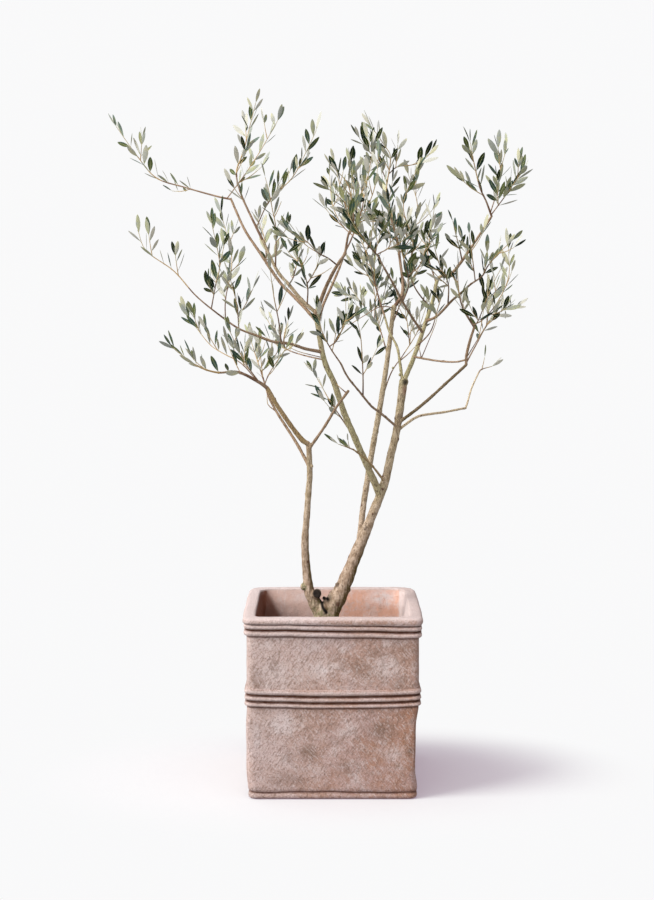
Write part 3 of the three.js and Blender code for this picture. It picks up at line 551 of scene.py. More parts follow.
def new_object(name: str, data: bpy.types.ID) -> Piece:
    """Put data into the scene as a new object.

    Args:
        name: the object's name.
        data: its mesh, light or camera.

    Returns:
        The object.
    """
    made = bpy.data.objects.new(name, data)
    bpy.context.scene.collection.objects.link(made)
    return made


def join(pieces: Sequence[Piece], name: str) -> Piece:
    """Join pieces into the first one and name it.

    Args:
        pieces: the pieces.
        name: the joined piece's name.

    Returns:
        The joined piece.
    """
    activate(*pieces)
    bpy.ops.object.join()
    pieces[0].name = name
    pieces[0].data.name = name
    return pieces[0]


def read_vectors(rows: bpy.types.bpy_prop_collection, name: str) -> Array:
    """Read a vector of each vertex.

    Args:
        rows: what holds them, one for each vertex.
        name: the vector's name there.

    Returns:
        The vectors, one to a row.
    """
    flat = np.empty(len(rows) * 3)
    rows.foreach_get(name, flat)
    return flat.reshape(-1, 3)


def read_points(piece: Piece) -> Array:
    """Return a piece's vertices in millimetres."""
    return read_vectors(piece.data.vertices, "co") / MM


def read_normals(piece: Piece) -> Array:
    """Return the normals of a piece's vertices."""
    return read_vectors(piece.data.vertex_normals, "vector")


def write_points(piece: Piece, points: Array) -> None:
    """Move a piece's vertices to points in millimetres."""
    piece.data.vertices.foreach_set("co", (points * MM).ravel())
    piece.data.update()


def set_attribute(piece: Piece, name: str, values: Array) -> None:
    """Store one number for each vertex of a piece, for its finish to read."""
    attribute = piece.data.attributes.new(name, "FLOAT", "POINT")
    attribute.data.foreach_set("value", values.astype(np.float32))


def noise_at(points: Array, size: Point, seed: float) -> Array:
    """Make smooth noise between about -1 and 1 at points.

    Args:
        points: the points in millimetres.
        size: the size of the noise along each axis, in millimetres.
        seed: where in the noise the points lie.

    Returns:
        A number for each point.
    """
    scaled = points / np.array(size) + seed
    return np.array([noise.noise(Vector(point)) for point in scaled])


def smooth_step(values: Array, low: float, high: float) -> Array:
    """Rise smoothly from 0 at low to 1 at high."""
    part = np.clip((values - low) / (high - low), 0, 1)
    return part * part * (3 - 2 * part)


def nearness(points: Array, middle: Point, reach: Point, power: float = 4.0) -> Array:
    """Fall from 1 at a middle to 0 beyond its reach along each axis, faster for a higher power."""
    gaps = np.linalg.norm((points - np.array(middle)) / np.array(reach), axis=1)
    return np.exp(-gaps ** power)


def finish_piece(piece: Piece, nodes: Sequence[str]) -> None:
    """Hand a piece over to the frame.

    Args:
        piece: the piece.
        nodes: the nodes that it stands for.
    """
    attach(piece, BODY)
    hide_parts(*nodes)
    triangles = sum(len(polygon.vertices) - 2 for polygon in piece.data.polygons)
    LOG.info("%s: %d triangles, for %d nodes", piece.name, triangles, len(nodes))


class Graph:
    """The node tree of one finish, with short calls for the nodes that it uses."""

    def __init__(self, name: str) -> None:
        """Start a material with its shader and the place on the piece.

        Args:
            name: the material's name.
        """
        self.material = bpy.data.materials.new(name)
        self.material.use_nodes = True
        self.tree = self.material.node_tree
        self.shader = self.tree.nodes["Principled BSDF"]
        self.place = self.tree.nodes.new("ShaderNodeTexCoord").outputs["Object"]

    def feed(self, socket: Socket, value: object) -> None:
        """Give a socket what it takes.

        Args:
            socket: the socket.
            value: another socket to link it to, or a number, colour or vector.
        """
        if isinstance(value, Socket):
            self.tree.links.new(value, socket)
        elif socket.type == "RGBA" and len(value) == 3:
            socket.default_value = (*value, 1)
        else:
            socket.default_value = value

    def node(self, kind: str, inputs: dict[str, object], **settings: object) -> bpy.types.Node:
        """Add a node.

        Args:
            kind: the node's type.
            inputs: what its sockets take, by the socket's name.
            settings: the node's settings.

        Returns:
            The node.
        """
        node = self.tree.nodes.new(kind)
        for name, value in settings.items():
            setattr(node, name, value)
        for name, value in inputs.items():
            self.feed(node.inputs[name], value)
        return node

    def stretched(self, scale: Point, turn: Point = (0, 0, 0)) -> Socket:
        """Turn the place on the piece and then scale it.

        Args:
            scale: the scale along each axis.
            turn: the turn round each axis, in radians.

        Returns:
            The changed place.
        """
        turned = self.node("ShaderNodeMapping", {"Vector": self.place, "Rotation": turn})
        scaled = self.node("ShaderNodeMapping", {"Vector": turned.outputs[0], "Scale": scale})
        return scaled.outputs[0]

    def noise(self, scale: float, detail: float, roughness: float, place: Socket | None = None) -> Socket:
        """Return cloudy noise from 0 to 1 with so many clouds to the metre."""
        inputs = {"Vector": place or self.place, "Scale": scale, "Detail": detail, "Roughness": roughness}
        return self.node("ShaderNodeTexNoise", inputs).outputs["Fac"]

    def spots(self, scale: float, place: Socket | None = None) -> Socket:
        """Return the distance to the nearest of scattered points, in their spacing."""
        node = self.node("ShaderNodeTexVoronoi", {"Vector": place or self.place, "Scale": scale})
        return node.outputs["Distance"]

    def rise(self, value: Socket, low: float, high: float, least: float = 0.0, most: float = 1.0) -> Socket:
        """Rise smoothly from least to most while a value goes from low to high."""
        inputs = {"Value": value, "From Min": low, "From Max": high, "To Min": least, "To Max": most}
        return self.node("ShaderNodeMapRange", inputs, interpolation_type="SMOOTHSTEP").outputs[0]

    def maths(self, operation: str, first: object, second: object) -> Socket:
        """Work out one operation on two numbers.

        Args:
            operation: the operation's name.
            first: the first number.
            second: the second number.

        Returns:
            The result.
        """
        node = self.node("ShaderNodeMath", {}, operation=operation)
        for socket, value in zip(node.inputs, (first, second)):
            self.feed(socket, value)
        return node.outputs[0]

    def mix(self, factor: object, first: object, second: object) -> Socket:
        """Mix two colours.

        Args:
            factor: the share of the second colour.
            first: the first colour.
            second: the second colour.

        Returns:
            The mixed colour.
        """
        node = self.node("ShaderNodeMix", {}, data_type="RGBA")
        sockets = {socket.identifier: socket for socket in node.inputs}
        for name, value in (("Factor_Float", factor), ("A_Color", first), ("B_Color", second)):
            self.feed(sockets[name], value)
        return next(socket for socket in node.outputs if socket.identifier == "Result_Color")

    def laid(self, colour: object, over: object, value: Socket, low: float, high: float,
             least: float = 0.0, most: float = 1.0) -> Socket:
        """Lay a second colour over one, from least to most while a value goes from low to high."""
        return self.mix(self.rise(value, low, high, least, most), colour, over)

    def attribute(self, name: str) -> Socket:
        """Return a number stored on the piece's vertices."""
        return self.node("ShaderNodeAttribute", {}, attribute_name=name).outputs["Fac"]

    def axis(self, name: str) -> Socket:
        """Return the place along one axis, in metres."""
        return self.node("ShaderNodeSeparateXYZ", {"Vector": self.place}).outputs[name]

    def bump(self, height: Socket, distance: float, strength: float, normal: Socket | None = None) -> Socket:
        """Lay a height on the surface.

        Args:
            height: the height, from 0 to 1.
            distance: how far it reaches at 1, in metres.
            strength: how much of it shows.
            normal: the surface's normal so far, where it has relief already.

        Returns:
            The surface's new normal.
        """
        inputs = {"Height": height, "Distance": distance, "Strength": strength}
        if normal is not None:
            inputs["Normal"] = normal
        return self.node("ShaderNodeBump", inputs).outputs["Normal"]

    def dress(self, colour: object, roughness: object, normal: Socket, specular: float) -> Material:
        """Feed the shader.

        Args:
            colour: the base colour.
            roughness: the roughness.
            normal: the surface's normal.
            specular: the strength of its shine.

        Returns:
            The finished material.
        """
        inputs = {"Base Color": colour, "Roughness": roughness, "Normal": normal,
                  "Specular IOR Level": specular}
        for name, value in inputs.items():
            self.feed(self.shader.inputs[name], value)
        return self.material


@dataclass(frozen=True)
class TerracottaFinish:
    """Chalky, mottled, brushed clay, salmon inside, with painted shade in its grooves and pits, painted
    shadow inside at the left and painted light towards its left.
    """

    clay: Colour = (0.36, 0.204, 0.147)
    pale_clay: Colour = (0.465, 0.32, 0.284)
    chalk: Colour = (0.665, 0.58, 0.56)
    stain: Colour = (0.18, 0.11, 0.074)
    rust: Colour = (0.36, 0.175, 0.098)
    # painted shade: the dark brown laid in the grooves and pits
    groove: Colour = (0.11, 0.047, 0.03)
    salmon: Colour = (0.69, 0.4, 0.295)
    inside_chalk: Colour = (0.62, 0.45, 0.39)
    # painted shadow: dark clay colour laid where the left wall shades the inside
    raw: Colour = (0.17, 0.06, 0.035)
    first_stroke: Point = (0, math.radians(40), 0)
    second_stroke: Point = (0, math.radians(-34), 0)

    def material(self) -> Material:
        """Build the material.

        Returns:
            The material.
        """
        graph = Graph("terracotta")
        grain = graph.noise(340, 5, 0.75)
        first = graph.noise(1, 3, 0.6, graph.stretched((370, 370, 90), self.first_stroke))
        second = graph.noise(1, 3, 0.6, graph.stretched((340, 340, 95), self.second_stroke))
        colour = self._mottled(graph)
        colour = graph.laid(colour, self.chalk, first, 0.51, 0.62, 0, 0.4)
        colour = graph.laid(colour, self.stain, second, 0.51, 0.62, 0, 0.48)
        colour = graph.laid(colour, self.stain, grain, 0.36, 0.5, 0.6, 0)
        colour = graph.laid(colour, self.chalk, grain, 0.56, 0.68, 0, 0.55)
        # dark pits in the colour of the painted shade
        colour = graph.laid(colour, self.groove, graph.spots(230), 0.06, 0.15, 0.65, 0)
        colour = graph.mix(graph.attribute("inside"), colour, self._inside(graph))
        # painted shade along the grooves, broken up by noise
        broken = graph.rise(graph.noise(45, 5, 0.7), 0.3, 0.55, 0.72, 1)
        groove_shaded = graph.maths("MULTIPLY", graph.attribute("groove"), broken)
        colour = graph.mix(groove_shaded, colour, self.groove)
        colour = graph.mix(graph.attribute("crest"), colour, self.chalk)
        rough = graph.rise(grain, 0.2, 0.8, 0.8, 0.98)
        normal = graph.bump(graph.noise(85, 5, 0.65), 0.003, 0.6)
        normal = graph.bump(grain, 0.0014, 0.9, normal)
        for strokes in (first, second):
            normal = graph.bump(strokes, 0.001, 0.9, normal)
        return graph.dress(colour, rough, normal, 0.2)

    def _mottled(self, graph: Graph) -> Socket:
        """Mix the outside's clouds of clay, chalk and grey-brown stains.

        Args:
            graph: the finish's node tree.

        Returns:
            The colour.
        """
        clouds = graph.noise(13, 5, 0.62)
        patches = graph.noise(31, 6, 0.68)
        colour = graph.laid(self.clay, self.pale_clay, clouds, 0.42, 0.59)
        rusty = graph.noise(9, 5, 0.6, graph.stretched((1, 1, 1), (0.9, 0.3, 0.5)))
        colour = graph.laid(colour, self.rust, rusty, 0.46, 0.6, 0, 0.55)
        colour = graph.laid(colour, self.rust, graph.axis("Z"), 0.13, 0.2, 0.16, 0)
        # painted light: paler towards the left, where the light falls
        colour = graph.laid(colour, self.chalk, graph.axis("X"), -0.17, 0.1, 0.46, 0)
        colour = graph.laid(colour, self.chalk, graph.axis("Z"), 0.2, 0.23, 0, 0.14)
        chalky = graph.maths("ADD", graph.rise(patches, 0.5, 0.74, 0, 0.6), self._patch(graph, "pale"))
        colour = graph.mix(chalky, colour, self.chalk)
        stains = graph.noise(19, 6, 0.64, graph.stretched((1, 1, 1), (0.4, 0.2, 1.1)))
        stained = graph.maths("ADD", graph.rise(stains, 0.55, 0.74, 0, 0.5), self._patch(graph, "stain"))
        return graph.mix(stained, colour, self.stain)

    def _patch(self, graph: Graph, name: str) -> Socket:
        """Return a patch stored on the vertices with its edge frayed by noise."""
        frayed = graph.rise(graph.noise(60, 6, 0.75), 0.3, 0.56)
        return graph.maths("MULTIPLY", graph.attribute(name), frayed)

    def _inside(self, graph: Graph) -> Socket:
        """Mix the inside's colour: salmon clay with chalk, and painted shadow on the left wall and at the
        back wall's left corner.

        Args:
            graph: the finish's node tree.

        Returns:
            The colour.
        """
        colour = graph.laid(self.salmon, self.inside_chalk, graph.noise(26, 6, 0.7), 0.52, 0.62, 0, 0.7)
        colour = graph.laid(colour, self.chalk, graph.noise(48, 6, 0.75), 0.5, 0.62, 0, 0.35)
        colour = graph.laid(colour, self.inside_chalk, graph.axis("X"), -0.03, 0.0, 0.85, 0)
        colour = graph.mix(self._patch(graph, "inner_chalk"), colour, self.chalk)
        colour = graph.laid(colour, self.chalk, graph.axis("X"), 0.143, 0.147, 0, 0.85)
        streaks = graph.noise(1, 5, 0.7, graph.stretched((90, 90, 30)))
        colour = graph.laid(colour, self.stain, streaks, 0.54, 0.7, 0, 0.16)
        colour = graph.laid(colour, self.chalk, streaks, 0.34, 0.47, 0.4, 0)
        # painted shadow on the inner left wall and down the back wall from its left corner
        return graph.mix(graph.attribute("raw"), colour, self.raw)


@dataclass(frozen=True)
class SoilFinish:
    """Dark, moist, crumbly potting soil."""

    dark: Colour = (0.022, 0.014, 0.009)
    pale: Colour = (0.11, 0.07, 0.045)

    def material(self) -> Material:
        """Build the material.

        Returns:
            The material.
        """
        graph = Graph("soil")
        crumbs = graph.noise(160, 6, 0.7)
        colour = graph.laid(self.dark, self.pale, crumbs, 0.35, 0.7)
        normal = graph.bump(graph.noise(500, 4, 0.7), 0.001, 0.8)
        return graph.dress(colour, graph.rise(crumbs, 0.3, 0.7, 0.75, 1), normal, 0.25)


@dataclass(frozen=True)
class BarkFinish:
    """Smooth olive bark with lenticels, small reddish knots, moss at the foot and old wounds, with painted
    shade in their cracks and hollows and on the foot's right flank.
    """

    grey: Colour = (0.31, 0.22, 0.15)
    pale: Colour = (0.51, 0.395, 0.3)
    streak: Colour = (0.12, 0.08, 0.048)
    olive: Colour = (0.37, 0.35, 0.18)
    ochre: Colour = (0.37, 0.262, 0.11)
    cream: Colour = (0.7, 0.58, 0.37)
    # dark bark, also laid as painted shade on the foot's right flank
    dark: Colour = (0.085, 0.06, 0.014)
    tan: Colour = (0.25, 0.165, 0.095)
    knot: Colour = (0.1, 0.045, 0.03)
    moss: Colour = (0.1, 0.13, 0.03)
    # near black: the wounds' dark wood, with painted shade in their cracks and hollow cut ends
    wound: Colour = (0.007, 0.006, 0.006)
    bare_wood: Colour = (0.3, 0.2, 0.13)
    scar: Colour = (0.22, 0.1, 0.075)

    def material(self) -> Material:
        """Build the material.

        Returns:
            The material.
        """
        graph = Graph("bark")
        along = graph.stretched((1, 1, 0.22))
        streaks = graph.noise(330, 5, 0.65, along)
        mottle = graph.noise(70, 5, 0.6)
        colour = graph.laid(self.grey, self.pale, mottle, 0.38, 0.62)
        for kind in COLOURED_BARKS:
            colour = graph.mix(graph.attribute(kind.value), colour, getattr(self, kind.value))
        colour = graph.laid(colour, self.pale, graph.noise(280, 5, 0.7), 0.54, 0.64, 0, 0.5)
        colour = graph.laid(colour, self.streak, streaks, 0.52, 0.63, 0, 0.7)
        colour = graph.laid(colour, self.streak, graph.spots(200, along), 0.13, 0.21, 0.9, 0)
        colour = graph.mix(graph.attribute("knot"), colour, self.knot)
        frayed = graph.rise(graph.noise(190, 5, 0.7), 0.4, 0.58)
        colour = graph.mix(graph.maths("MULTIPLY", graph.attribute("moss"), frayed), colour, self.moss)
        # the scar, the bare wood, and the dark wounds with their painted shade
        for name in ("scar", "bare_wood", "wound"):
            colour = graph.mix(graph.attribute(name), colour, getattr(self, name))
        normal = graph.bump(streaks, 0.0018, 0.8)
        normal = graph.bump(graph.noise(700, 4, 0.7), 0.0006, 0.7, normal)
        return graph.dress(colour, graph.rise(streaks, 0.3, 0.7, 0.75, 0.95), normal, 0.1)


@dataclass(frozen=True)
class GrowthFinish:
    """A plain tint of leaf or twig that turns to a second one from place to place."""

    name: str
    tint: Colour
    second: Colour
    roughness: float
    specular: float = 0.4

    def material(self) -> Material:
        """Build the material.

        Returns:
            The material.
        """
        graph = Graph(self.name)
        turning = graph.noise(38, 3, 0.6)
        colour = graph.laid(self.tint, self.second, turning, 0.42, 0.58)
        fine = graph.noise(1400, 3, 0.6)
        rough = graph.rise(fine, 0.3, 0.7, self.roughness - 0.06, self.roughness + 0.08)
        return graph.dress(colour, rough, graph.bump(fine, 0.0002, 0.4), self.specular)


LEAF_TOPS = (
    GrowthFinish("leaf_top_deep", (0.006, 0.018, 0.013), (0.018, 0.029, 0.004), 0.6, 0.05),
    GrowthFinish("leaf_top", (0.028, 0.063, 0.048), (0.067, 0.088, 0.02), 0.52, 0.16),
    GrowthFinish("leaf_top_light", (0.125, 0.18, 0.145), (0.21, 0.22, 0.09), 0.5, 0.3),
)
LEAF_UNDERSIDES = (
    GrowthFinish("leaf_underside_cool", (0.31, 0.335, 0.29), (0.38, 0.395, 0.24), 0.75, 0.2),
    GrowthFinish("leaf_underside", (0.385, 0.395, 0.335), (0.485, 0.475, 0.315), 0.78, 0.2),
    GrowthFinish("leaf_underside_pale", (0.47, 0.475, 0.41), (0.56, 0.55, 0.45), 0.8, 0.2),
)
LEAF_RIB = GrowthFinish("leaf_rib", (0.3, 0.31, 0.16), (0.38, 0.38, 0.22), 0.6)
TWIGS = (
    GrowthFinish("twig_brown", (0.15, 0.085, 0.05), (0.31, 0.215, 0.14), 0.75, 0.25),
    GrowthFinish("twig_ochre", (0.39, 0.265, 0.115), (0.46, 0.335, 0.17), 0.7, 0.25),
    GrowthFinish("twig_cream", (0.43, 0.36, 0.21), (0.5, 0.44, 0.28), 0.65, 0.25),
)


@dataclass(frozen=True)
class Patch:
    """A patch of colour on the planter: its middle, its half-sizes and its strength."""

    x: float
    level: float
    half_width: float
    half_height: float
    strength: float

    def cover(self, points: Array) -> Array:
        """Return how strongly the patch covers each point.

        Args:
            points: the points, in millimetres.

        Returns:
            A share of colour for each point.
        """
        edge_power = 1.5
        across = (points[:, 0] - self.x) / self.half_width
        upward = (points[:, 2] - self.level) / self.half_height
        return self.strength * np.exp(-(across ** 2 + upward ** 2) ** edge_power)


@dataclass(frozen=True)
class Ridge:
    """An upright ridge of pressed clay on the planter's front: its place, ends and height."""

    x: float
    low: float
    high: float
    height: float

    def rise(self, points: Array) -> Array:
        """Return how far the ridge stands out at each point.

        Args:
            points: the points, in millimetres.

        Returns:
            A height in millimetres for each point.
        """
        half_width = 2.6
        level = points[:, 2]
        window = smooth_step(level, self.low - 4, self.low + 6)
        window *= 1 - smooth_step(level, self.high - 6, self.high + 4)
        return self.height * np.exp(-((points[:, 0] - self.x) / half_width) ** 2) * window


@dataclass
class Planter:
    """The square planter: a rounded square extruded up its profile, then worked by hand."""

    height: float = 370.0
    floor: float = 25.0
    cavity_half: float = 149.5
    corner_radius: float = 14.0
    corner_steps: int = 5
    columns: int = 48
    corner_zone: float = 136.0
    foot_edge: float = 160.0
    foot_half: float = 170.0
    foot_height: float = 14.5
    panel_foot_half: float = 170.5
    panel_half: float = 172.0
    fillet: float = 9.0
    row_every: float = 7.0
    rib_steps: int = 8
    middle_ribs: tuple[Pair, ...] = ((195.5, 4.5), (208, 4.7), (221.5, 5.6))
    middle_reach: Pair = (171.8, 177)
    rim_ribs: tuple[Pair, ...] = ((336.5, 5.6), (350, 5.2))
    rim_reach: Pair = (172.2, 178)
    roll: Pair = (362.5, 7.2)
    roll_reach: Pair = (173.6, 180)
    lip_half: float = 155.0
    drain_radius: float = 8.0
    drain_from_centre: float = 75.0
    drain_sides: int = 24
    sharp_from: float = 55.0
    pale_patches: tuple[Patch, ...] = (
        Patch(-103, 152, 32, 17, 0.75), Patch(30, 146, 19, 17, 0.7), Patch(47, 40, 10, 18, 0.5),
        Patch(-115, 262, 26, 18, 0.55), Patch(-28, 268, 34, 22, 0.6), Patch(108, 270, 30, 26, 0.65),
        Patch(-150, 130, 7, 26, 0.6), Patch(-40, 60, 26, 10, 0.35), Patch(118, 95, 26, 16, 0.4),
    )
    stains: tuple[Patch, ...] = (
        Patch(-48, 96, 18, 15, 0.85), Patch(98, 142, 26, 24, 0.75), Patch(32, 66, 25, 16, 0.7),
        Patch(58, 268, 22, 16, 0.6), Patch(-150, 244, 14, 20, 0.5), Patch(135, 236, 22, 16, 0.5),
        Patch(158, 98, 8, 10, 0.9), Patch(-95, 40, 34, 14, 0.5), Patch(6, 118, 16, 12, 0.4),
        Patch(146, 302, 24, 24, 0.45), Patch(-88, 88, 14, 12, 0.45),
    )
    inner_chalk: tuple[Patch, ...] = (Patch(108, 350, 30, 17, 1.0), Patch(-60, 352, 30, 10, 0.6))
    # the strength and the sharpness of the painted shade in the grooves, and how far it reaches above the
    # foot
    groove_shade_strength: float = 1.3
    groove_shade_power: float = 1.2
    foot_groove_shade_reach: float = 2.0
    crest_chalk: float = 0.3
    rim_chalk: float = 0.56
    # the slant and the strength of the painted shadow cast down the back wall from its left corner
    inner_shadow_slope: float = 0.63
    inner_shadow_strength: float = 0.85
    ridges: tuple[Ridge, ...] = (
        Ridge(-166.5, 100, 182, 1.4), Ridge(165, 45, 190, 1.5), Ridge(166, 234, 322, 1.1),
        Ridge(-167, 240, 320, 0.9), Ridge(-163.5, 148, 166, 1.6),
    )
    middle_sag: float = 3.6
    sag_reach: float = 30.0
    rim_slope: float = 2.6
    rib_wander: float = 0.9
    foot_wander: float = 1.9
    foot_wander_reach: float = 5.0
    back_corner_draw: float = 0.035
    corner_from: float = 0.78
    rim_swell: float = 0.008
    broad_dents: float = 0.9
    small_dents: float = 0.35
    foot_dents: float = 0.4
    right_draw: float = 4.6
    left_swell: float = 2.2

    def rib(self, level: float, half_height: float, reach: Pair) -> list[Pair]:
        """Return the rows over one rounded rib.

        Args:
            level: the level of its middle.
            half_height: half its height.
            reach: the half-width at its root and at its crest.

        Returns:
            The half-width and level of each row.
        """
        root, crest = reach
        turns = np.linspace(-math.pi / 2, math.pi / 2, self.rib_steps + 1)
        return [(root + (crest - root) * math.cos(turn), level + half_height * math.sin(turn))
                for turn in turns]

    def panel(self, low: Pair, high: Pair) -> list[Pair]:
        """Return rows up a panel, from one half-width and level to another."""
        count = int(math.ceil((high[1] - low[1]) / self.row_every))
        return [tuple(row) for row in np.linspace(low, high, count + 1)]

    def profile(self) -> list[Pair]:
        """Return the rows from the underside up and in to the floor.

        Returns:
            The half-width and level of each row, each a little way off the one before.
        """
        foot = [(self.foot_edge, 0), (self.foot_half - 4, 0.6), (self.foot_half - 0.8, 3.2),
                (self.foot_half, 7), (self.foot_half - 0.4, 10.5), (self.foot_half - 1.6, 13),
                (self.foot_half - 2.8, self.foot_height), (self.foot_half - 2, self.foot_height + 1.2),
                (self.foot_half - 0.4, self.foot_height + 3.2)]
        lowest = self.middle_ribs[0][0]
        highest = self.middle_ribs[-1][0]
        lower_panel = self.panel((self.panel_foot_half, 22), (self.panel_half, lowest - 2 * self.fillet))
        into_band = [(self.panel_half + 0.3, lowest - self.fillet)]
        middle = [row for level, half in self.middle_ribs for row in self.rib(level, half, self.middle_reach)]
        upper_panel = self.panel((self.panel_half + 0.2, highest + self.fillet + 3),
                                 (self.panel_half, self.rim_ribs[0][0] - self.fillet))
        rim = [row for level, half in self.rim_ribs for row in self.rib(level, half, self.rim_reach)]
        rim += self.rib(*self.roll, self.roll_reach)
        top = [(170, self.height), (163, self.height), (self.lip_half + 3, self.height),
               (self.lip_half + 0.9, self.height - 0.5), (self.lip_half, self.height - 1.8),
               (self.lip_half - 0.5, self.height - 4.5), (self.lip_half - 2, self.height - 13),
               (self.cavity_half + 1, self.height - 24)]
        wall = self.panel((self.cavity_half, SOIL_TOP - 8), (self.cavity_half, self.height - 32))[::-1]
        rows = [*foot, *lower_panel, *into_band, *middle, *upper_panel, *rim, *top, *wall,
                (self.cavity_half, self.floor)]
        return [row for i, row in enumerate(rows) if i == 0 or math.dist(row, rows[i - 1]) > 0.05]

    def build(self) -> Piece:
        """Model the planter.

        Returns:
            The planter.
        """
        piece = self._ring()
        self._extrude_rows()
        self._drill_drains(piece)
        self._mark(piece)
        self._work(piece)
        self._roughen(piece)
        smooth(piece, self.sharp_from)
        return piece

    def _ring(self) -> Piece:
        """Add a plane, round its corners and divide its sides, more finely near the corners.

        Returns:
            The ring, in edit mode.
        """
        clear_selection()
        bpy.ops.mesh.primitive_plane_add(size=2 * self.foot_edge * MM)
        piece = bpy.context.object
        piece.name = "terracotta_planter"
        bpy.ops.object.mode_set(mode="EDIT")
        bpy.ops.mesh.select_all(action="SELECT")
        bpy.ops.mesh.bevel(offset=self.corner_radius * MM, segments=self.corner_steps, affect="VERTICES")
        bpy.ops.mesh.delete(type="ONLY_FACE")
        for cuts, zone in ((self.columns - 1, 0.0), (2, self.corner_zone)):
            self._select_straight_edges(piece, zone)
            bpy.ops.mesh.subdivide(number_cuts=cuts)
        return piece

    @staticmethod
    def _select_straight_edges(piece: Piece, zone: float) -> None:
        """Select edges along the sides.

        Args:
            piece: the ring.
            zone: how far from the middle of its side an edge's middle lies at least.
        """
        bpy.ops.object.mode_set(mode="OBJECT")
        points = read_points(piece)
        for edge in piece.data.edges:
            first, second = points[edge.vertices[0]], points[edge.vertices[1]]
            middle = np.abs(first + second) / 2
            straight = np.min(np.abs(first - second)[:2]) < 0.01
            edge.select = bool(straight and np.min(middle[:2]) >= zone)
        bpy.ops.object.mode_set(mode="EDIT")
        bpy.ops.mesh.select_mode(type="EDGE")

    def _extrude_rows(self) -> None:
        """Extrude the ring up the profile, row by row, and close both ends."""
        rows = self.profile()
        bpy.ops.mesh.select_all(action="SELECT")
        for (half, level), (next_half, next_level) in zip(rows, rows[1:]):
            rise = (0, 0, (next_level - level) * MM)
            bpy.ops.mesh.extrude_region_move(TRANSFORM_OT_translate={"value": rise})
            grow = next_half / half
            bpy.ops.transform.resize(value=(grow, grow, 1), center_override=(0, 0, next_level * MM))
        bpy.ops.mesh.edge_face_add()
        bpy.ops.mesh.select_all(action="DESELECT")
        bpy.ops.mesh.select_non_manifold()
        bpy.ops.mesh.edge_face_add()
        face_outwards()

    def _drill_drains(self, piece: Piece) -> None:
        """Cut the four drain holes through the floor.

        Args:
            piece: the planter.
        """
        drills = []
        for x, y in ((-1, -1), (-1, 1), (1, -1), (1, 1)):
            clear_selection()
            bpy.ops.mesh.primitive_cylinder_add(
                vertices=self.drain_sides, radius=self.drain_radius * MM, depth=3 * self.floor * MM,
                location=(x * self.drain_from_centre * MM, y * self.drain_from_centre * MM, 0))
            bpy.ops.object.transform_apply(location=True)
            drills.append(bpy.context.object)
        drill = join(drills, "drain_drill")
        apply_modifier(piece, "BOOLEAN", object=drill, operation="DIFFERENCE", solver="MANIFOLD")
        bpy.data.objects.remove(drill)

    def _girth(self, points: Array) -> Array:
        """Return the half-width of the rounded square that each point lies on.

        Args:
            points: the points, in millimetres.

        Returns:
            A half-width for each point.
        """
        plan = np.abs(points[:, :2])
        centre = self.panel_half - self.corner_radius
        return np.where(np.min(plan, axis=1) > centre,
                        centre + np.linalg.norm(np.maximum(plan - centre, 0), axis=1), np.max(plan, axis=1))

    def _ribbed(self, girth: Array, level: Array) -> tuple[Array, Array]:
        """Find the painted shade in the grooves and the chalky crests of the ribs and the rim.

        Args:
            girth: the half-width that each point lies on.
            level: the level of each point.

        Returns:
            How much painted shade the grooves lay on each point, and how chalky its crest is.
        """
        groove = np.zeros(len(level))
        crest = np.zeros(len(level))
        bands = (
            (self.middle_ribs[0][0] - 6.5, self.middle_ribs[-1][0] + 4.5, self.middle_reach),
            (self.rim_ribs[0][0] - 6.5, self.roll[0] - 4, self.rim_reach),
        )
        for low, high, (root, reach) in bands:
            within = (level > low) & (level < high) & (girth > self.panel_half - 1)
            height = np.clip((girth - root) / (reach - root), 0, 1)
            # painted shade in the grooves between ribs, darkest at the ribs' roots
            depth = np.clip(self.groove_shade_strength * (1 - height) ** self.groove_shade_power, 0, 1)
            groove = np.where(within, depth, groove)
            crest = np.where(within, smooth_step(height, 0.7, 1) * self.crest_chalk, crest)
        # painted shade in the crease above the foot
        foot = np.exp(-((level - self.foot_height) / self.foot_groove_shade_reach) ** 2)
        foot = foot * (girth > self.panel_half - 8)
        rim = smooth_step(level, self.roll[0] + 1, self.roll[0] + 7) * (girth > self.cavity_half + 3)
        return np.maximum(groove, foot), np.maximum(crest, self.rim_chalk * rim)

    def _mark(self, piece: Piece) -> None:
        """Store where the grooves with their painted shade, the crests, the patches, the inside and the
        painted shadow inside at the left are.

        Args:
            piece: the planter.
        """
        points = read_points(piece)
        level = points[:, 2]
        girth = self._girth(points)
        groove, crest = self._ribbed(girth, level)
        inside = (girth < self.lip_half + 0.5) * smooth_step(self.height - level, 1, 3.5)
        inside = inside * (level > self.floor - 1)
        front = points[:, 1] < -self.lip_half
        back_wall = (np.abs(points[:, 1] - self.cavity_half) < 8) & (inside > 0)
        # painted shade on the whole inner left wall, and a painted cast shadow slanting down the back wall
        # from its left corner
        left_wall_shade = 1 - smooth_step(points[:, 0], -self.cavity_half + 1, -self.cavity_half + 5)
        from_corner = points[:, 0] + self.cavity_half - self.inner_shadow_slope * (self.height - level)
        corner = self.inner_shadow_strength * (1 - smooth_step(from_corner, -7, 7)) * back_wall
        stored = {
            "groove": groove,
            "crest": crest,
            "inside": inside,
            "pale": self._patched(points, self.pale_patches) * front,
            "stain": self._patched(points, self.stains) * front,
            "inner_chalk": self._patched(points, self.inner_chalk) * back_wall,
            "raw": np.maximum(left_wall_shade, corner) * inside,
        }
        for name, values in stored.items():
            set_attribute(piece, name, values)

    @staticmethod
    def _patched(points: Array, patches: Sequence[Patch]) -> Array:
        """Return how strongly the strongest of some patches covers each point."""
        return np.max([patch.cover(points) for patch in patches], axis=0)

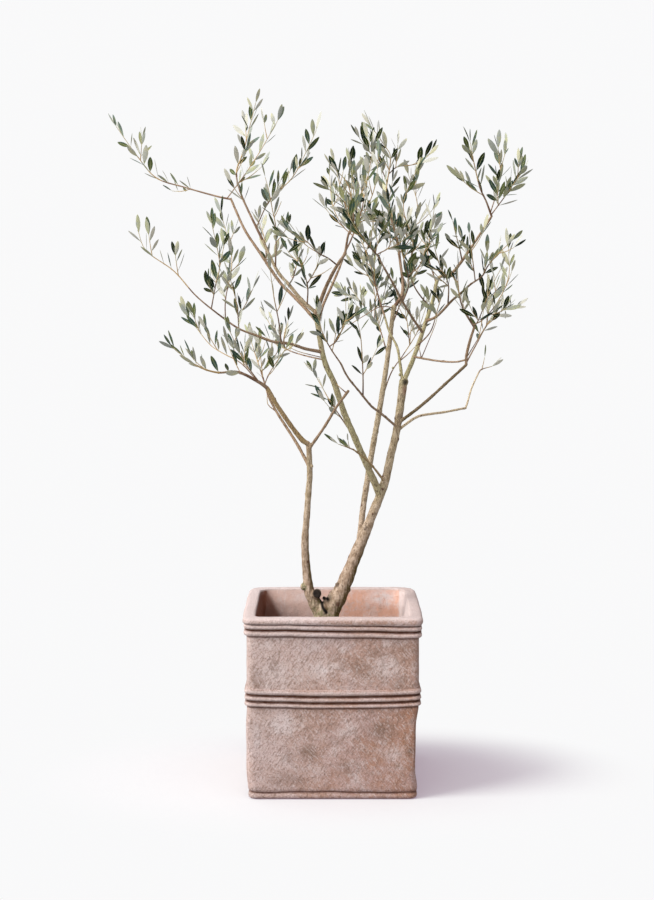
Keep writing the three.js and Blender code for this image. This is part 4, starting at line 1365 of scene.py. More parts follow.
    def _work(self, piece: Piece) -> None:
        """Give the clay its hand-made sag, slope, drawn-in back corners, ridges and dents.

        Args:
            piece: the planter.
        """
        flat_below, lowest = 0.5, 0.3
        points = read_points(piece)
        x, y, level = points.T
        girth = self._girth(points)
        plan = np.abs(points[:, :2])
        outside = smooth_step(girth, self.lip_half - 4, self.lip_half + 2)
        along = np.min(plan, axis=1) / self.panel_half
        lift = self._lift(points, along, outside)
        corner = smooth_step(np.min(plan, axis=1) / np.max(plan, axis=1), self.corner_from, 1.0)
        upper = smooth_step(level, 300, 340)
        draw = 1 - self.back_corner_draw * corner * (y > 0) * upper
        swell = 1 + self.rim_swell * (1 - along ** 2) * upper * (plan[:, 0] > plan[:, 1])
        grow = (1 + self._dents(points, outside) / np.maximum(girth, 1)) * draw * swell
        lower = smooth_step(level, 18, 60) * (1 - smooth_step(level, 150, 188)) * outside
        lean_in = self.right_draw * smooth_step(x, 120, 172) + self.left_swell * smooth_step(-x, 120, 172)
        points[:, 0] = x * grow - lower * lean_in
        points[:, 1] = y * grow
        points[:, 2] = np.where(level > flat_below, np.maximum(level + lift, lowest), level)
        write_points(piece, points)

    def _lift(self, points: Array, along: Array, outside: Array) -> Array:
        """Return how far the sag, the slope and the wander of ribs and foot raise each point.

        Args:
            points: the points, in millimetres.
            along: how far each lies from its side's middle, as a share of the half-width.
            outside: how far each lies on the outside.

        Returns:
            A rise in millimetres for each point.
        """
        level = points[:, 2]
        middle = np.exp(-((level - self.middle_ribs[1][0]) / self.sag_reach) ** 4) * outside
        rim = smooth_step(level, 318, 332) * (1 - smooth_step(level, 354, 362)) * outside
        foot = np.exp(-((level - self.foot_height) / self.foot_wander_reach) ** 2)
        flattened = points * np.array([1, 1, 0.15])
        lift = -self.middle_sag * (1 - along ** 2) * middle
        lift -= self.rim_slope * points[:, 0] / self.panel_half * rim
        lift += self.rib_wander * noise_at(flattened, (55, 55, 55), 3.1) * np.maximum(middle, rim)
        return lift + self.foot_wander * foot * noise_at(points, (38, 38, 200), 9.4)

    def _dents(self, points: Array, outside: Array) -> Array:
        """Return how far dents and ridges move each point out.

        Args:
            points: the points, in millimetres.
            outside: how far each lies on the outside.

        Returns:
            A move in millimetres for each point.
        """
        level = points[:, 2]
        move = (self.broad_dents * noise_at(points, (70, 70, 70), 1.7)
                + self.small_dents * noise_at(points, (17, 17, 17), 5.2))
        move *= np.maximum(outside * smooth_step(level, 12, 24), self.foot_dents * outside)
        front = (points[:, 1] < -self.panel_half + 12) & (level > 24) & (level < 325)
        for ridge in self.ridges:
            move += front * ridge.rise(points)
        return move

    def _roughen(self, piece: Piece) -> None:
        """Lay a slight unevenness on the whole surface except the underside.

        Args:
            piece: the planter.
        """
        flat_below = 2
        group_name = "uneven"
        group = piece.vertex_groups.new(name=group_name)
        raised = np.nonzero(read_points(piece)[:, 2] > flat_below)[0]
        group.add(raised.tolist(), 1.0, "REPLACE")
        for name, size, strength in (("clay_dents", 0.03, 0.9), ("clay_pits", 0.009, 0.4)):
            texture = bpy.data.textures.new(name, "CLOUDS")
            texture.noise_scale = size
            apply_modifier(piece, "DISPLACE", texture=texture, strength=strength * MM,
                           texture_coords="LOCAL", vertex_group=group_name)

    def dress(self, piece: Piece) -> None:
        """Give the planter its finish and hand it over.

        Args:
            piece: the planter.
        """
        piece.data.materials.clear()
        piece.data.materials.append(TerracottaFinish().material())
        finish_piece(piece, ["planter"])


@dataclass
class Soil:
    """Crumbly soil with small lumps on it."""

    half: float = 148.8
    bottom: float = 25.4
    cells: int = 90
    swells: float = 2.2
    crumbs: float = 1.4
    edge_sink: float = 5.0
    edge_from: float = 110.0
    sharp_from: float = 40.0
    lumps: int = 420
    lump_margin: float = 8.0
    lump_sizes: Pair = (1.4, 4.2)
    lump_squash: Pair = (0.7, 1.3)
    lump_heights: Pair = (0.5, 0.9)
    lump_sinks: Pair = (2.5, 4.5)
    lump_jolt: float = 0.25
    seed: int = 71

    def build(self) -> Piece:
        """Model the soil: a grid made uneven, drawn down to a closed block, with lumps on it.

        Returns:
            The soil.
        """
        clear_selection()
        bpy.ops.mesh.primitive_grid_add(x_subdivisions=self.cells, y_subdivisions=self.cells,
                                        size=2 * self.half * MM, location=(0, 0, (SOIL_TOP - 1.5) * MM))
        block = bpy.context.object
        bpy.ops.object.transform_apply(location=True)
        points = read_points(block)
        edge = smooth_step(np.max(np.abs(points[:, :2]), axis=1), self.edge_from, self.half)
        points[:, 2] += (self.swells * noise_at(points, (30, 30, 30), 2.0)
                         + self.crumbs * noise_at(points, (8, 8, 8), 4.0) - self.edge_sink * edge - 2)
        write_points(block, points)
        bpy.ops.object.mode_set(mode="EDIT")
        bpy.ops.mesh.select_all(action="DESELECT")
        bpy.ops.mesh.select_non_manifold()
        bpy.ops.mesh.extrude_region_move(TRANSFORM_OT_translate={"value": (0, 0, -0.02)})
        bpy.ops.transform.resize(value=(1, 1, 0), center_override=(0, 0, self.bottom * MM))
        bpy.ops.mesh.edge_face_add()
        face_outwards()
        piece = join([block, *self._lumps()], "potting_soil")
        smooth(piece, self.sharp_from)
        return piece

    def _lumps(self) -> list[Piece]:
        """Model one lump and copy it over the soil, each copy jolted, squashed and sized on its own.

        Returns:
            The copies.
        """
        clear_selection()
        bpy.ops.mesh.primitive_ico_sphere_add(subdivisions=1, radius=1)
        first = bpy.context.object
        shape = np.array([vertex.co for vertex in first.data.vertices])
        draws = Draws(self.seed)
        reach = self.half - self.lump_margin
        pieces = []
        for _ in range(self.lumps):
            size = draws.between(*self.lump_sizes) * MM
            squash = np.array([draws.between(*limits) for limits in
                               (self.lump_squash, self.lump_squash, self.lump_heights)])
            jolt = 1 + self.lump_jolt * np.array([draws.between(-1, 1) for _ in shape])[:, None]
            spot = np.array([draws.between(-1, 1) * reach, draws.between(-1, 1) * reach,
                             SOIL_TOP - draws.between(*self.lump_sinks)]) * MM
            copy = first.copy()
            copy.data = first.data.copy()
            bpy.context.scene.collection.objects.link(copy)
            copy.data.vertices.foreach_set("co", (shape * jolt * squash * size + spot).ravel())
            pieces.append(copy)
        bpy.data.objects.remove(first)
        return pieces

    def dress(self, piece: Piece) -> None:
        """Give the soil its finish and hand it over."""
        piece.data.materials.append(SoilFinish().material())
        finish_piece(piece, ["soil"])


class Skeleton:
    """The lines of all limbs, found by name."""

    stretch = 5.0
    sample_every = 7.0
    clearance = 1.5

    def __init__(self) -> None:
        """Lay each limb's line from its start on its parent."""
        self.routes: dict[str, Route] = {}
        points = []
        radii = []
        for limb in LIMBS:
            start = self.routes[limb.parent].start_on(limb.at) if limb.parent else limb.start
            route = Route([start, *limb.through], self.stretch)
            self.routes[limb.name] = route
            count = int(math.ceil(route.length / self.sample_every))
            shares = np.linspace(0, 1, count + 1)
            points.append(route.at(shares))
            radii.append(spread(limb.radii, shares))
        self.points = np.vstack(points)
        self.radii = np.concatenate(radii)

    def is_clear(self, point: Array, reach: float) -> bool:
        """Say whether a ball round a point stays off all limbs."""
        gaps = np.linalg.norm(self.points - point, axis=1) - self.radii
        return bool(np.all(gaps > self.clearance + reach))


@dataclass
class Wood:
    """The trunk, stems and boughs: round limbs merged into one skin, with the bark's relief."""

    skeleton: Skeleton
    thick: tuple[str, ...] = ("trunk", "left_stem", "back_stem", "middle_stem", "lower_left_bough",
                              "upper_left_bough", "right_bough", "lower_right_bough", "rear_centre_bough",
                              "cut_stub")
    thick_sides: int = 28
    thin_sides: int = 12
    voxel: float = 1.5
    sharp_from: float = 50.0
    slimming: float = 0.98
    knobbliness: float = 0.05
    collar: float = 0.35
    collar_reach: float = 2.5
    stub: tuple[Point, Point] = ((-37, 2, 380), (-32, -24, 393))
    stub_radii: Pair = (9.6, 9.4)
    cut_face: Point = (-32, -25.5, 393)
    cracks: tuple[tuple[Point, ...], ...] = (
        ((-28, -20, 384), (-23, -20, 377), (-20.5, -18, 364), (-13, -16, 352)),
        ((-28, -20, 384), (-16, -20, 381), (-10, -18, 376)),
    )
    crack_half: float = 3.7
    wedge: Point = (-14.5, -16, 366)
    notch: Point = (-9, -8, 378)
    notch_depth: float = 7.0
    notch_reach: float = 6.5
    mossy_knot: Point = (-61, -13, 404)
    old_knot: Point = (8.9, -8, 408)
    callus: Point = (150.5, 8, 829)
    callus_scar: Point = (149.5, 10, 811)
    knots: tuple[tuple[Point, Point], ...] = (
        ((147.5, 19, 828), (9.8, 10.5, 10)), (mossy_knot, (6, 6, 7.5)),
        ((-42.5, -32, 658), (3.6, 3.6, 4)),
        ((125, 20, 857), (3.2, 3, 3)), ((139, 16, 843), (3, 3, 3.4)),
        (old_knot, (4, 4, 4.5)), ((33, 2, 395), (6, 5, 7)), ((-17, -16, 380.5), (4.2, 4.5, 5)),
        ((131, 132, 980), (6, 6, 7)), ((-20, -14, 352), (13, 12, 18)), ((66, -4, 528), (4, 4, 6)),
        ((105, 6, 612), (5, 4, 7)), ((136, 12, 760), (4, 4, 5)), ((-57, -22, 560), (3, 3, 5)),
    )
    furrow: float = 0.32
    lump: float = 0.45
    foot_furrow: float = 0.5
    root_flare: float = 2.2
    fine_furrow: float = 0.18
    fine_lump: float = 0.3
    kind_strength: float = 0.78
    kind_wander: float = 0.25
    # painted shade on the right flank of the foot
    painted_right_shade: float = 1.3
    ageing: float = 0.45
    knot_gaps: Pair = (22.0, 62.0)
    knot_size: float = 1.1
    knot_growth: Pair = (0.12, 0.34)
    knot_heights: Pair = (0.5, 1.0)
    knot_rise: float = 1.3
    knot_colour: float = 0.9
    knot_seed: int = 19

    def limbs(self, thick: bool) -> list[Limb]:
        """Return the thick limbs or the thin ones."""
        return [limb for limb in LIMBS if (limb.name in self.thick) == thick]

    def build(self) -> tuple[Piece, Piece]:
        """Model the thick wood and the thin boughs and return both."""
        return self._thick_wood(), self._thin_boughs()

    @staticmethod
    def _tube(points: Array, radii: Array, sides: int) -> Piece:
        """Model one round limb: a path with a round section, made a mesh.

        Args:
            points: the points of its line, in millimetres.
            radii: its radius at each of them.
            sides: the number of its sides.

        Returns:
            The limb.
        """
        clear_selection()
        bpy.ops.curve.primitive_nurbs_path_add()
        curve = bpy.context.object.data
        curve.splines.clear()
        line = curve.splines.new("POLY")
        line.points.add(len(points) - 1)
        line.points.foreach_set("co", np.column_stack([points * MM, np.ones(len(points))]).ravel())
        line.points.foreach_set("radius", radii * MM)
        curve.bevel_depth = 1.0
        curve.bevel_resolution = (sides - 4) // 2
        curve.use_fill_caps = True
        bpy.ops.object.convert(target="MESH")
        return bpy.context.object

    def _limb(self, limb: Limb, sides: int) -> Piece:
        """Model one limb, thicker where it leaves its parent and slightly knobbly along it.

        Args:
            limb: the limb.
            sides: the number of its sides.

        Returns:
            The limb's mesh.
        """
        long_wave, short_wave = 11.0, 4.7
        route = self.skeleton.routes[limb.name]
        radii = spread(limb.radii, route.reached / route.length)
        if limb.parent and limb.at < 1:
            base = radii[0]
            radii = radii + self.collar * base * np.exp(-route.reached / (self.collar_reach * base))
        wave = np.sin(route.reached / long_wave + len(limb.name)) * np.sin(route.reached / short_wave)
        return self._tube(route.points, radii * (self.slimming + self.knobbliness * wave), sides)

    @staticmethod
    def _knot(place: Point, radii: Point) -> Piece:
        """Model one knot as a small uneven ball, to be merged with the limb that it sits on.

        Args:
            place: its middle.
            radii: its radius along each axis.

        Returns:
            The knot.
        """
        clear_selection()
        bpy.ops.mesh.primitive_ico_sphere_add(subdivisions=3, radius=MM, location=np.array(place) * MM,
                                              scale=radii)
        bpy.ops.object.transform_apply(location=True, rotation=True, scale=True)
        return bpy.context.object

    def _thick_wood(self) -> Piece:
        """Merge the thick limbs and knots into one skin, smooth it and give it relief.

        Returns:
            The thick wood.
        """
        limbs = self.limbs(thick=True)
        parts = [self._limb(limb, self.thick_sides) for limb in limbs]
        parts += [self._knot(place, radii) for place, radii in self.knots]
        parts.append(self._tube(np.array(self.stub), np.array(self.stub_radii), self.thick_sides))
        piece = join(parts, "trunk_and_stems")
        self._cut_at_soil(piece)
        apply_modifier(piece, "REMESH", mode="VOXEL", voxel_size=self.voxel * MM)
        apply_modifier(piece, "SMOOTH", factor=0.5, iterations=4)
        self._carve(piece)
        self._mark(piece)
        self._store_kinds(piece, limbs)
        self._dot_knots(piece, limbs)
        activate(piece)
        bpy.ops.object.shade_smooth()
        return piece

    @staticmethod
    def _cut_at_soil(piece: Piece) -> None:
        """Cut the trunk flat, a little below the top of the soil.

        Args:
            piece: the joined limbs.
        """
        activate(piece)
        bpy.ops.object.mode_set(mode="EDIT")
        bpy.ops.mesh.select_all(action="SELECT")
        bpy.ops.mesh.bisect(plane_co=(0, 0, (SOIL_TOP - 8) * MM), plane_no=(0, 0, 1), clear_inner=True,
                            use_fill=True)
        bpy.ops.object.mode_set(mode="OBJECT")

    def _carve(self, piece: Piece) -> None:
        """Move the skin in and out: furrows, lumps, the foot's root flare and the notch above it.

        Args:
            piece: the thick wood.
        """
        points = read_points(piece)
        foot = 1 - smooth_step(points[:, 2], 330, 470)
        furrows = noise_at(points, (3.2, 3.2, 16), 2.2)
        lumps = noise_at(points, (13, 13, 24), 7.7)
        ridges = noise_at(points, (11, 11, 60), 4.1)
        move = (self.furrow * furrows + self.lump * lumps
                + foot * (self.foot_furrow * furrows + self.root_flare * ridges))
        from_notch = np.linalg.norm(points - np.array(self.notch), axis=1)
        move -= self.notch_depth * np.exp(-(from_notch / self.notch_reach) ** 2)
        write_points(piece, points + read_normals(piece) * move[:, None])

    def _mark(self, piece: Piece) -> None:
        """Store the moss, the old wounds with the painted shade of their cracks and hollows, the scar and the
        bare wood on the skin.

        Args:
            piece: the thick wood.
        """
        points = read_points(piece)
        front = points[:, 1] < 0
        left = 1 - smooth_step(points[:, 0], -30, 25)
        moss = (1 - smooth_step(points[:, 2], 315, 400)) * (0.3 + 0.7 * left)
        moss = np.maximum(moss, nearness(points, self.mossy_knot, (9, 9, 9)))
        line = np.vstack([Route(crack, 2).points for crack in self.cracks])
        from_crack = np.min(np.linalg.norm((points[:, None] - line[None])[:, :, ::2], axis=2), axis=1)
        paler_ring = 1 - 0.07 * nearness(points, self.cut_face, (5, 9, 5.5))
        # the dark wounds, with the cracks and the hollow cut ends painted near black as shade
        wound = np.max([
            nearness(points, self.cut_face, (10.2, 9, 11), 8) * paler_ring,
            np.exp(-(from_crack / self.crack_half) ** 4) * front,
            0.55 * nearness(points, self.old_knot, (5, 5, 5)),
            0.88 * nearness(points, self.callus, (7, 8, 6.5)),
        ], axis=0)
        set_attribute(piece, "moss", moss)
        set_attribute(piece, "wound", np.clip(wound, 0, 1))
        set_attribute(piece, "scar", 0.55 * nearness(points, self.callus_scar, (6, 9, 12)))
        set_attribute(piece, "bare_wood", 0.75 * nearness(points, self.wedge, (5, 14, 11)) * front)

    def _store_kinds(self, piece: Piece, limbs: Sequence[Limb]) -> None:
        """Store how far each point has each kind of bark, blended over the nearest lines, with painted shade
        laid as dark bark on the foot's right flank.

        Args:
            piece: the thick wood or the thin boughs.
            limbs: its limbs.
        """
        every, nearest = 4, 8
        spots = [(spot, limb.bark) for limb in limbs
                 for spot in self.skeleton.routes[limb.name].sampled(every)]
        tree = kdtree.KDTree(len(spots))
        for index, (spot, _) in enumerate(spots):
            tree.insert(spot, index)
        tree.balance()
        points = read_points(piece)
        found = {kind: np.zeros(len(points)) for kind in Bark}
        for i, point in enumerate(points):
            for _, index, _ in tree.find_n(point, nearest):
                found[spots[index][1]][i] += 1 / nearest
        # painted shade: dark bark on the faces that turn right, away from the light, low on the trunk
        facing_right = smooth_step(read_normals(piece)[:, 0], 0.15, 0.8)
        found[Bark.DARK] += self.painted_right_shade * facing_right * (1 - smooth_step(points[:, 2], 440, 540))
        browned = found[Bark.OLIVE] * smooth_step(points[:, 0], 215, 240)
        found[Bark.OLIVE] -= browned
        found[Bark.TAN] += browned
        found[Bark.OLIVE] += self.ageing * smooth_step(points[:, 2], 430, 720) * found[Bark.GREY]
        uneven = 1 + self.kind_wander * noise_at(points, (60, 60, 60), 8.0)
        for kind in COLOURED_BARKS:
            set_attribute(piece, kind.value, np.clip(self.kind_strength * uneven * found[kind], 0, 1))

    def _dot_knots(self, piece: Piece, limbs: Sequence[Limb]) -> None:
        """Raise small knots at seeded places along the limbs and store where they are.

        Args:
            piece: the thick wood or the thin boughs.
            limbs: its limbs.
        """
        points = read_points(piece)
        draws = Draws(self.knot_seed)
        raised = np.zeros(len(points))
        for limb in limbs:
            route = self.skeleton.routes[limb.name]
            place = draws.between(*self.knot_gaps)
            while place < route.length:
                share = place / route.length
                radius = float(spread(limb.radii, np.array(share)))
                side = sideways(route.heading(share), draws.share() * 2 * math.pi)
                size = self.knot_size + radius * draws.between(*self.knot_growth)
                gaps = np.linalg.norm(points - route.at(share) - side * radius, axis=1) / size
                raised = np.maximum(raised, draws.between(*self.knot_heights) * np.exp(-gaps ** 2))
                place += draws.between(*self.knot_gaps)
        write_points(piece, points + read_normals(piece) * self.knot_rise * raised[:, None])
        set_attribute(piece, "knot", smooth_step(raised, 0.2, 0.7) * self.knot_colour)

    def _thin_boughs(self) -> Piece:
        """Model the thin boughs as one piece.

        Returns:
            The thin boughs.
        """
        limbs = self.limbs(thick=False)
        piece = join([self._limb(limb, self.thin_sides) for limb in limbs], "boughs")
        points = read_points(piece)
        move = (self.fine_furrow * noise_at(points, (3, 3, 7), 2.2)
                + self.fine_lump * noise_at(points, (6, 6, 9), 6.0))
        write_points(piece, points + read_normals(piece) * move[:, None])
        self._store_kinds(piece, limbs)
        self._dot_knots(piece, limbs)
        for name in ("moss", "wound", "scar", "bare_wood"):
            set_attribute(piece, name, np.zeros(len(points)))
        smooth(piece, self.sharp_from)
        return piece

    def dress(self, pieces: tuple[Piece, Piece]) -> None:
        """Give both pieces the bark and hand them over.

        Args:
            pieces: the thick wood and the thin boughs.
        """
        bark = BarkFinish().material()
        thin = [limb.name for limb in self.limbs(thick=False)]
        for piece, names in zip(pieces, (self.thick, thin)):
            piece.data.materials.append(bark)
            finish_piece(piece, names)


@dataclass
class Leaf:
    """One leaf: where it stands, how it leans and faces, its size and its tints."""

    root: Array
    lean: Array
    facing: Array
    length: float
    width: float
    bow: float
    top: int
    underside: int

    @property
    def places(self) -> list[Array]:
        """Points on the leaf that must stay free.

        Returns:
            Three points along it and the two edges of its widest place.
        """
        widest_at = 0.55
        across = np.cross(self.lean, self.facing)
        middle = self.root + self.lean * self.length * widest_at
        half = across * self.width / 2
        along = [self.root + self.lean * self.length * share for share in (0.3, 0.78, 1)]
        return [*along, middle + half, middle - half]


@dataclass
class Twig:
    """One shoot or twig: its line, its radii, its leaf nodes and where its young bark starts."""

    route: Route
    base_radius: float
    tip_radius: float
    nodes: list[float] = field(default_factory=list)
    young_from: float = 0.5


@dataclass
class Crown:
    """Foliage that grows on from the limbs by the solids' own rule, carried to finer twigs."""

    skeleton: Skeleton
    shoot_stretch: float = 9.0
    fork_growth: float = 14.0
    shoot_radius: float = 1.75
    limb_share: float = 0.92
    fork_radius: float = 1.35
    fork_young_from: float = 0.35
    tip_radius: float = 0.6
    twig_every: float = 130.0
    twig_lengths: Pair = (72.0, 34.0)
    fine_lengths: Pair = (66.0, 30.0)
    twig_shares: Pair = (0.75, 1.15)
    longest_share: float = 0.7
    last_twig_at: float = 0.86
    twig_radius: float = 1.0
    twig_angle: float = 0.75
    twig_lift: float = 0.22
    twig_turn: float = 1.53
    leaf_lengths: Pair = (29.0, 44.0)
    leaf_widths: Pair = (0.21, 0.29)
    leaf_bows: Pair = (0.0, 0.15)
    leaf_angles: Pair = (0.55, 1.12)
    pair_gaps: Pair = (0.85, 1.2)
    tip_zone: float = 45.0
    tip_leaf_turn: float = 1.2
    tip_leaf_angles: Pair = (0.16, 0.4)
    tip_leaf_sizes: Pair = (0.75, 1.0)
    short_shoot: float = 40.0
    short_shoot_leaves: float = 0.85
    own_top_share: float = 0.45
    own_underside_share: float = 0.6
    own_space_margin: float = -26.0
    leaf_apart: float = 4.2
    least_bare_share: float = 0.21

    def __post_init__(self) -> None:
        """Lay the listed shoots and sample the space that each mass has."""
        self.shoots = [self._shoots_of(mass) for mass in FOLIAGE]
        samples = [twig.route.sampled(self.skeleton.sample_every)
                   for shoots in self.shoots for twig in shoots]
        owners = [owner for owner, shoots in enumerate(self.shoots) for _ in shoots]
        self.space = np.vstack(samples)
        self.owners = np.concatenate([np.full(len(points), owner) for points, owner in zip(samples, owners)])
        self.taken = np.empty((0, 3))
        self.leaves: dict[Side, list[Leaf]] = {side: [] for side in Side}
        self.twigs: dict[Side, list[Twig]] = {side: [] for side in Side}

    def _shoots_of(self, mass: Mass) -> list[Twig]:
        """Lay a mass's stem and forks. A stem at its limb's tip takes up the limb's radius.

        Args:
            mass: the mass.

        Returns:
            The stem and then its forks.
        """
        limb = next(limb for limb in LIMBS if limb.name == mass.limb)
        start = self.skeleton.routes[mass.limb].start_on(mass.at)
        stem = Route([start, *self._grown(mass.stem, mass.growth)], self.shoot_stretch)
        radius = self.shoot_radius
        if mass.at == 1:
            radius = max(radius, self.limb_share * limb.radii[-1])
        shoots = [Twig(stem, radius, self.tip_radius)]
        for share, through in mass.forks:
            points = [stem.start_on(share), *self._grown(through, self.fork_growth)]
            shoots.append(Twig(Route(points, self.shoot_stretch), self.fork_radius, self.tip_radius,
                               young_from=self.fork_young_from))
        return shoots

    @staticmethod
    def _grown(points: Sequence[Point], growth: float) -> list[Point]:
        """Return a shoot's points with the last one moved on along its heading."""
        before, last = (np.array(point, float) for point in points[-2:])
        return [*points[:-1], tuple(last + unit(last - before) * growth)]

    def _in_own_space(self, point: Array, owner: int) -> bool:
        """Say whether a point is nearer a mass's own shoots than others.

        Args:
            point: the point.
            owner: the mass's number.

        Returns:
            Whether it is, with the margin.
        """
        gaps = np.linalg.norm(self.space - point, axis=1)
        own = gaps[self.owners == owner].min()
        return bool(own + self.own_space_margin < gaps[self.owners != owner].min())

    def _is_free(self, points: Sequence[Array], owner: int, reach: float) -> bool:
        """Say whether points lie in a mass's own space and off all limbs."""
        return all(self._in_own_space(point, owner) and self.skeleton.is_clear(point, reach)
                   for point in points)

    def grow(self) -> None:
        """Grow every mass and the bare twigs."""
        for owner, mass in enumerate(FOLIAGE):
            self._grow_mass(owner, mass)
        for bare in BARE_TWIGS:
            line = self.skeleton.routes[bare.limb].sampled(2)
            nearest = np.argmin(np.linalg.norm(line - np.array(bare.through[0]), axis=1))
            route = Route([tuple(line[nearest]), *bare.through[1:]], self.shoot_stretch)
            self.twigs[side_of(bare.through)].append(Twig(route, bare.radius, self.tip_radius))

    def _grow_mass(self, owner: int, mass: Mass) -> None:
        """Grow one mass: its side twigs, finer twigs, and the leaves on all of them.

        Args:
            owner: the mass's number.
            mass: the mass.
        """
        shoots = self.shoots[owner]
        side_twigs = self._side_twigs(shoots, owner, Draws(owner), (0.0, self.twig_every), self.twig_lengths)
        fine_twigs = self._side_twigs([*shoots, *side_twigs], owner, Draws(owner + 2 * len(FOLIAGE)),
                                      (mass.twigs_every / 2, mass.twigs_every), self.fine_lengths)
        wood = [*shoots, *side_twigs, *fine_twigs]
        self.taken = np.vstack([self.taken, *(twig.route.sampled(4) for twig in wood)])
        draws = Draws(owner + len(FOLIAGE))
        tints = (self._top_tint(mass, draws), draws.pick(len(LEAF_UNDERSIDES)))
        for index, twig in enumerate(wood):
            bare = mass.bare_share if index == 0 else self.least_bare_share
            self.leaves[mass.side] += self._leaves_on(twig, bare, owner, draws, tints)
        self.twigs[mass.side] += wood

    @staticmethod
    def _top_tint(mass: Mass, draws: Draws) -> int:
        """Draw the tint of a leaf's top.

        Args:
            mass: the leaf's mass.
            draws: the mass's draws.

        Returns:
            The number of the tint in LEAF_TOPS.
        """
        deep, middling = mass.dark_shares
        drawn = draws.share()
        return int(drawn > deep) + int(drawn > middling)

    @staticmethod
    def _leaning(heading: Array, side: Array, angle: float, lift: float) -> Array:
        """Return the heading leaned over to one side by an angle, and lifted."""
        return unit(heading * math.cos(angle) + side * math.sin(angle) + UP * lift)

    def _side_twigs(self, shoots: Sequence[Twig], owner: int, draws: Draws, gaps: Pair,
                    lengths: Pair) -> list[Twig]:
        """Grow twigs off shoots in turn, shorter towards the shoot's tip.

        Args:
            shoots: what they stand on.
            owner: the mass's number.
            draws: the mass's draws.
            gaps: how far up its leafy part a shoot's first twig stands, and how far apart they stand.
            lengths: the length of the longest and the shortest.

        Returns:
            The twigs that have room.
        """
        longest, shortest = lengths
        twigs = []
        for index, shoot in enumerate(shoots):
            route = shoot.route
            turn = draws.share() * 2 * math.pi
            bare = max(self.least_bare_share, FOLIAGE[owner].bare_share if index == 0 else 0)
            first = bare * route.length + gaps[0]
            for place in np.arange(first, self.last_twig_at * route.length, gaps[1]):
                turn += self.twig_turn * math.pi / 2
                share = place / route.length
                length = (longest + (shortest - longest) * share) * draws.between(*self.twig_shares)
                length = min(length, self.longest_share * route.length)
                heading = route.heading(share)
                lean = self._leaning(heading, sideways(heading, turn), self.twig_angle, self.twig_lift)
                start = route.at(share)
                middle = start + lean * length / 2
                tip = middle + unit(lean + UP * self.twig_lift) * length / 2
                if self._is_free([middle, (middle + tip) / 2, tip], owner, self.twig_radius):
                    radius = min(self.twig_radius, 0.8 * shoot.base_radius)
                    grown = Route([start, middle, tip], self.shoot_stretch)
                    twigs.append(Twig(grown, radius, self.tip_radius, young_from=0.0))
        return twigs

    def _leaves_on(self, twig: Twig, bare_share: float, owner: int, draws: Draws,
                   tints: tuple[int, int]) -> list[Leaf]:
        """Grow leaves in opposite pairs, each pair a quarter turn on, and smaller ones at the tip.

        Args:
            twig: what they stand on. It gets a node at each pair.
            bare_share: the share of its length that has none.
            owner: the mass's number.
            draws: the mass's draws.
            tints: the mass's own tint of the leaves' tops and of their undersides.

        Returns:
            The leaves that have room.
        """
        end_margin = 5
        mass = FOLIAGE[owner]
        route = twig.route
        leaves = []
        turn = draws.share() * math.pi
        place = bare_share * route.length
        while place < route.length - end_margin:
            share = place / route.length
            twig.nodes.append(share)
            turn += math.pi / 2 + draws.between(-0.2, 0.2)
            near_tip = max(0.0, 1 - (route.length - place) / self.tip_zone)
            size = (1 - 0.1 * near_tip) * (self.short_shoot_leaves if route.length < self.short_shoot else 1)
            for opposite in (0, math.pi):
                angle = draws.between(*self.leaf_angles) * (1 - 0.3 * near_tip)
                leaf = self._leaf(route, share, turn + opposite, angle, size, mass, draws, tints)
                lost = draws.share() < mass.lost_leaves
                if not lost and self._accept(leaf, owner):
                    leaves.append(leaf)
            place += mass.pairs_every * draws.between(*self.pair_gaps) * (1 - 0.2 * near_tip)
        for opposite in (0, math.pi):
            leaf = self._leaf(route, 1 - 0.5 / route.length, turn + self.tip_leaf_turn + opposite,
                              draws.between(*self.tip_leaf_angles), draws.between(*self.tip_leaf_sizes),
                              mass, draws, tints)
            if self._accept(leaf, owner):
                leaves.append(leaf)
        return leaves

    def _leaf(self, route: Route, share: float, turn: float, angle: float, size: float, mass: Mass,
              draws: Draws, tints: tuple[int, int]) -> Leaf:
        """Make one leaf.

        Args:
            route: the line that it stands on.
            share: where on the line, as a share of its length.
            turn: how far round the line it stands.
            angle: how far it leans off the line.
            size: its size beside a full-grown leaf's.
            mass: its mass.
            draws: the mass's draws.
            tints: the mass's own tint of the leaves' tops and of their undersides.

        Returns:
            The leaf.
        """
        cupping = 0.4
        least_lift = 0.13
        most_twist = 1.3
        heading = route.heading(share)
        lift = least_lift + mass.uplift * math.hypot(heading[0], heading[1])
        side = sideways(heading, turn)
        lean = self._leaning(heading, side, angle, lift)
        facing = heading - cupping * side
        facing = unit(facing - lean * np.dot(facing, lean))
        twist = draws.between(-most_twist, most_twist)
        facing = facing * math.cos(twist) + np.cross(lean, facing) * math.sin(twist)
        length = draws.between(*self.leaf_lengths) * size * mass.leaf_size
        width = length * draws.between(*self.leaf_widths)
        top = tints[0] if draws.share() < self.own_top_share else self._top_tint(mass, draws)
        underside = tints[1]
        if draws.share() >= self.own_underside_share:
            underside = draws.pick(len(LEAF_UNDERSIDES))
        bow = draws.between(*self.leaf_bows)
        return Leaf(route.at(share), lean, facing, length, width, bow, top, underside)

    def _accept(self, leaf: Leaf, owner: int) -> bool:
        """Keep a leaf that is in its mass's own space and touches nothing, and take up its room.

        Args:
            leaf: the leaf.
            owner: its mass's number.

        Returns:
            Whether it is kept.
        """
        places = leaf.places
        if not self._is_free(places, owner, 0):
            return False
        gaps = np.linalg.norm(self.taken[None] - np.array(places)[:, None], axis=2)
        if gaps.min() < self.leaf_apart:
            return False
        self.taken = np.vstack([self.taken, places])
        return True


class LeafPart(Enum):
    """The parts of a leaf that have a tint of their own."""

    RIB = "rib"
    TOP = "top"
    UNDERSIDE = "underside"


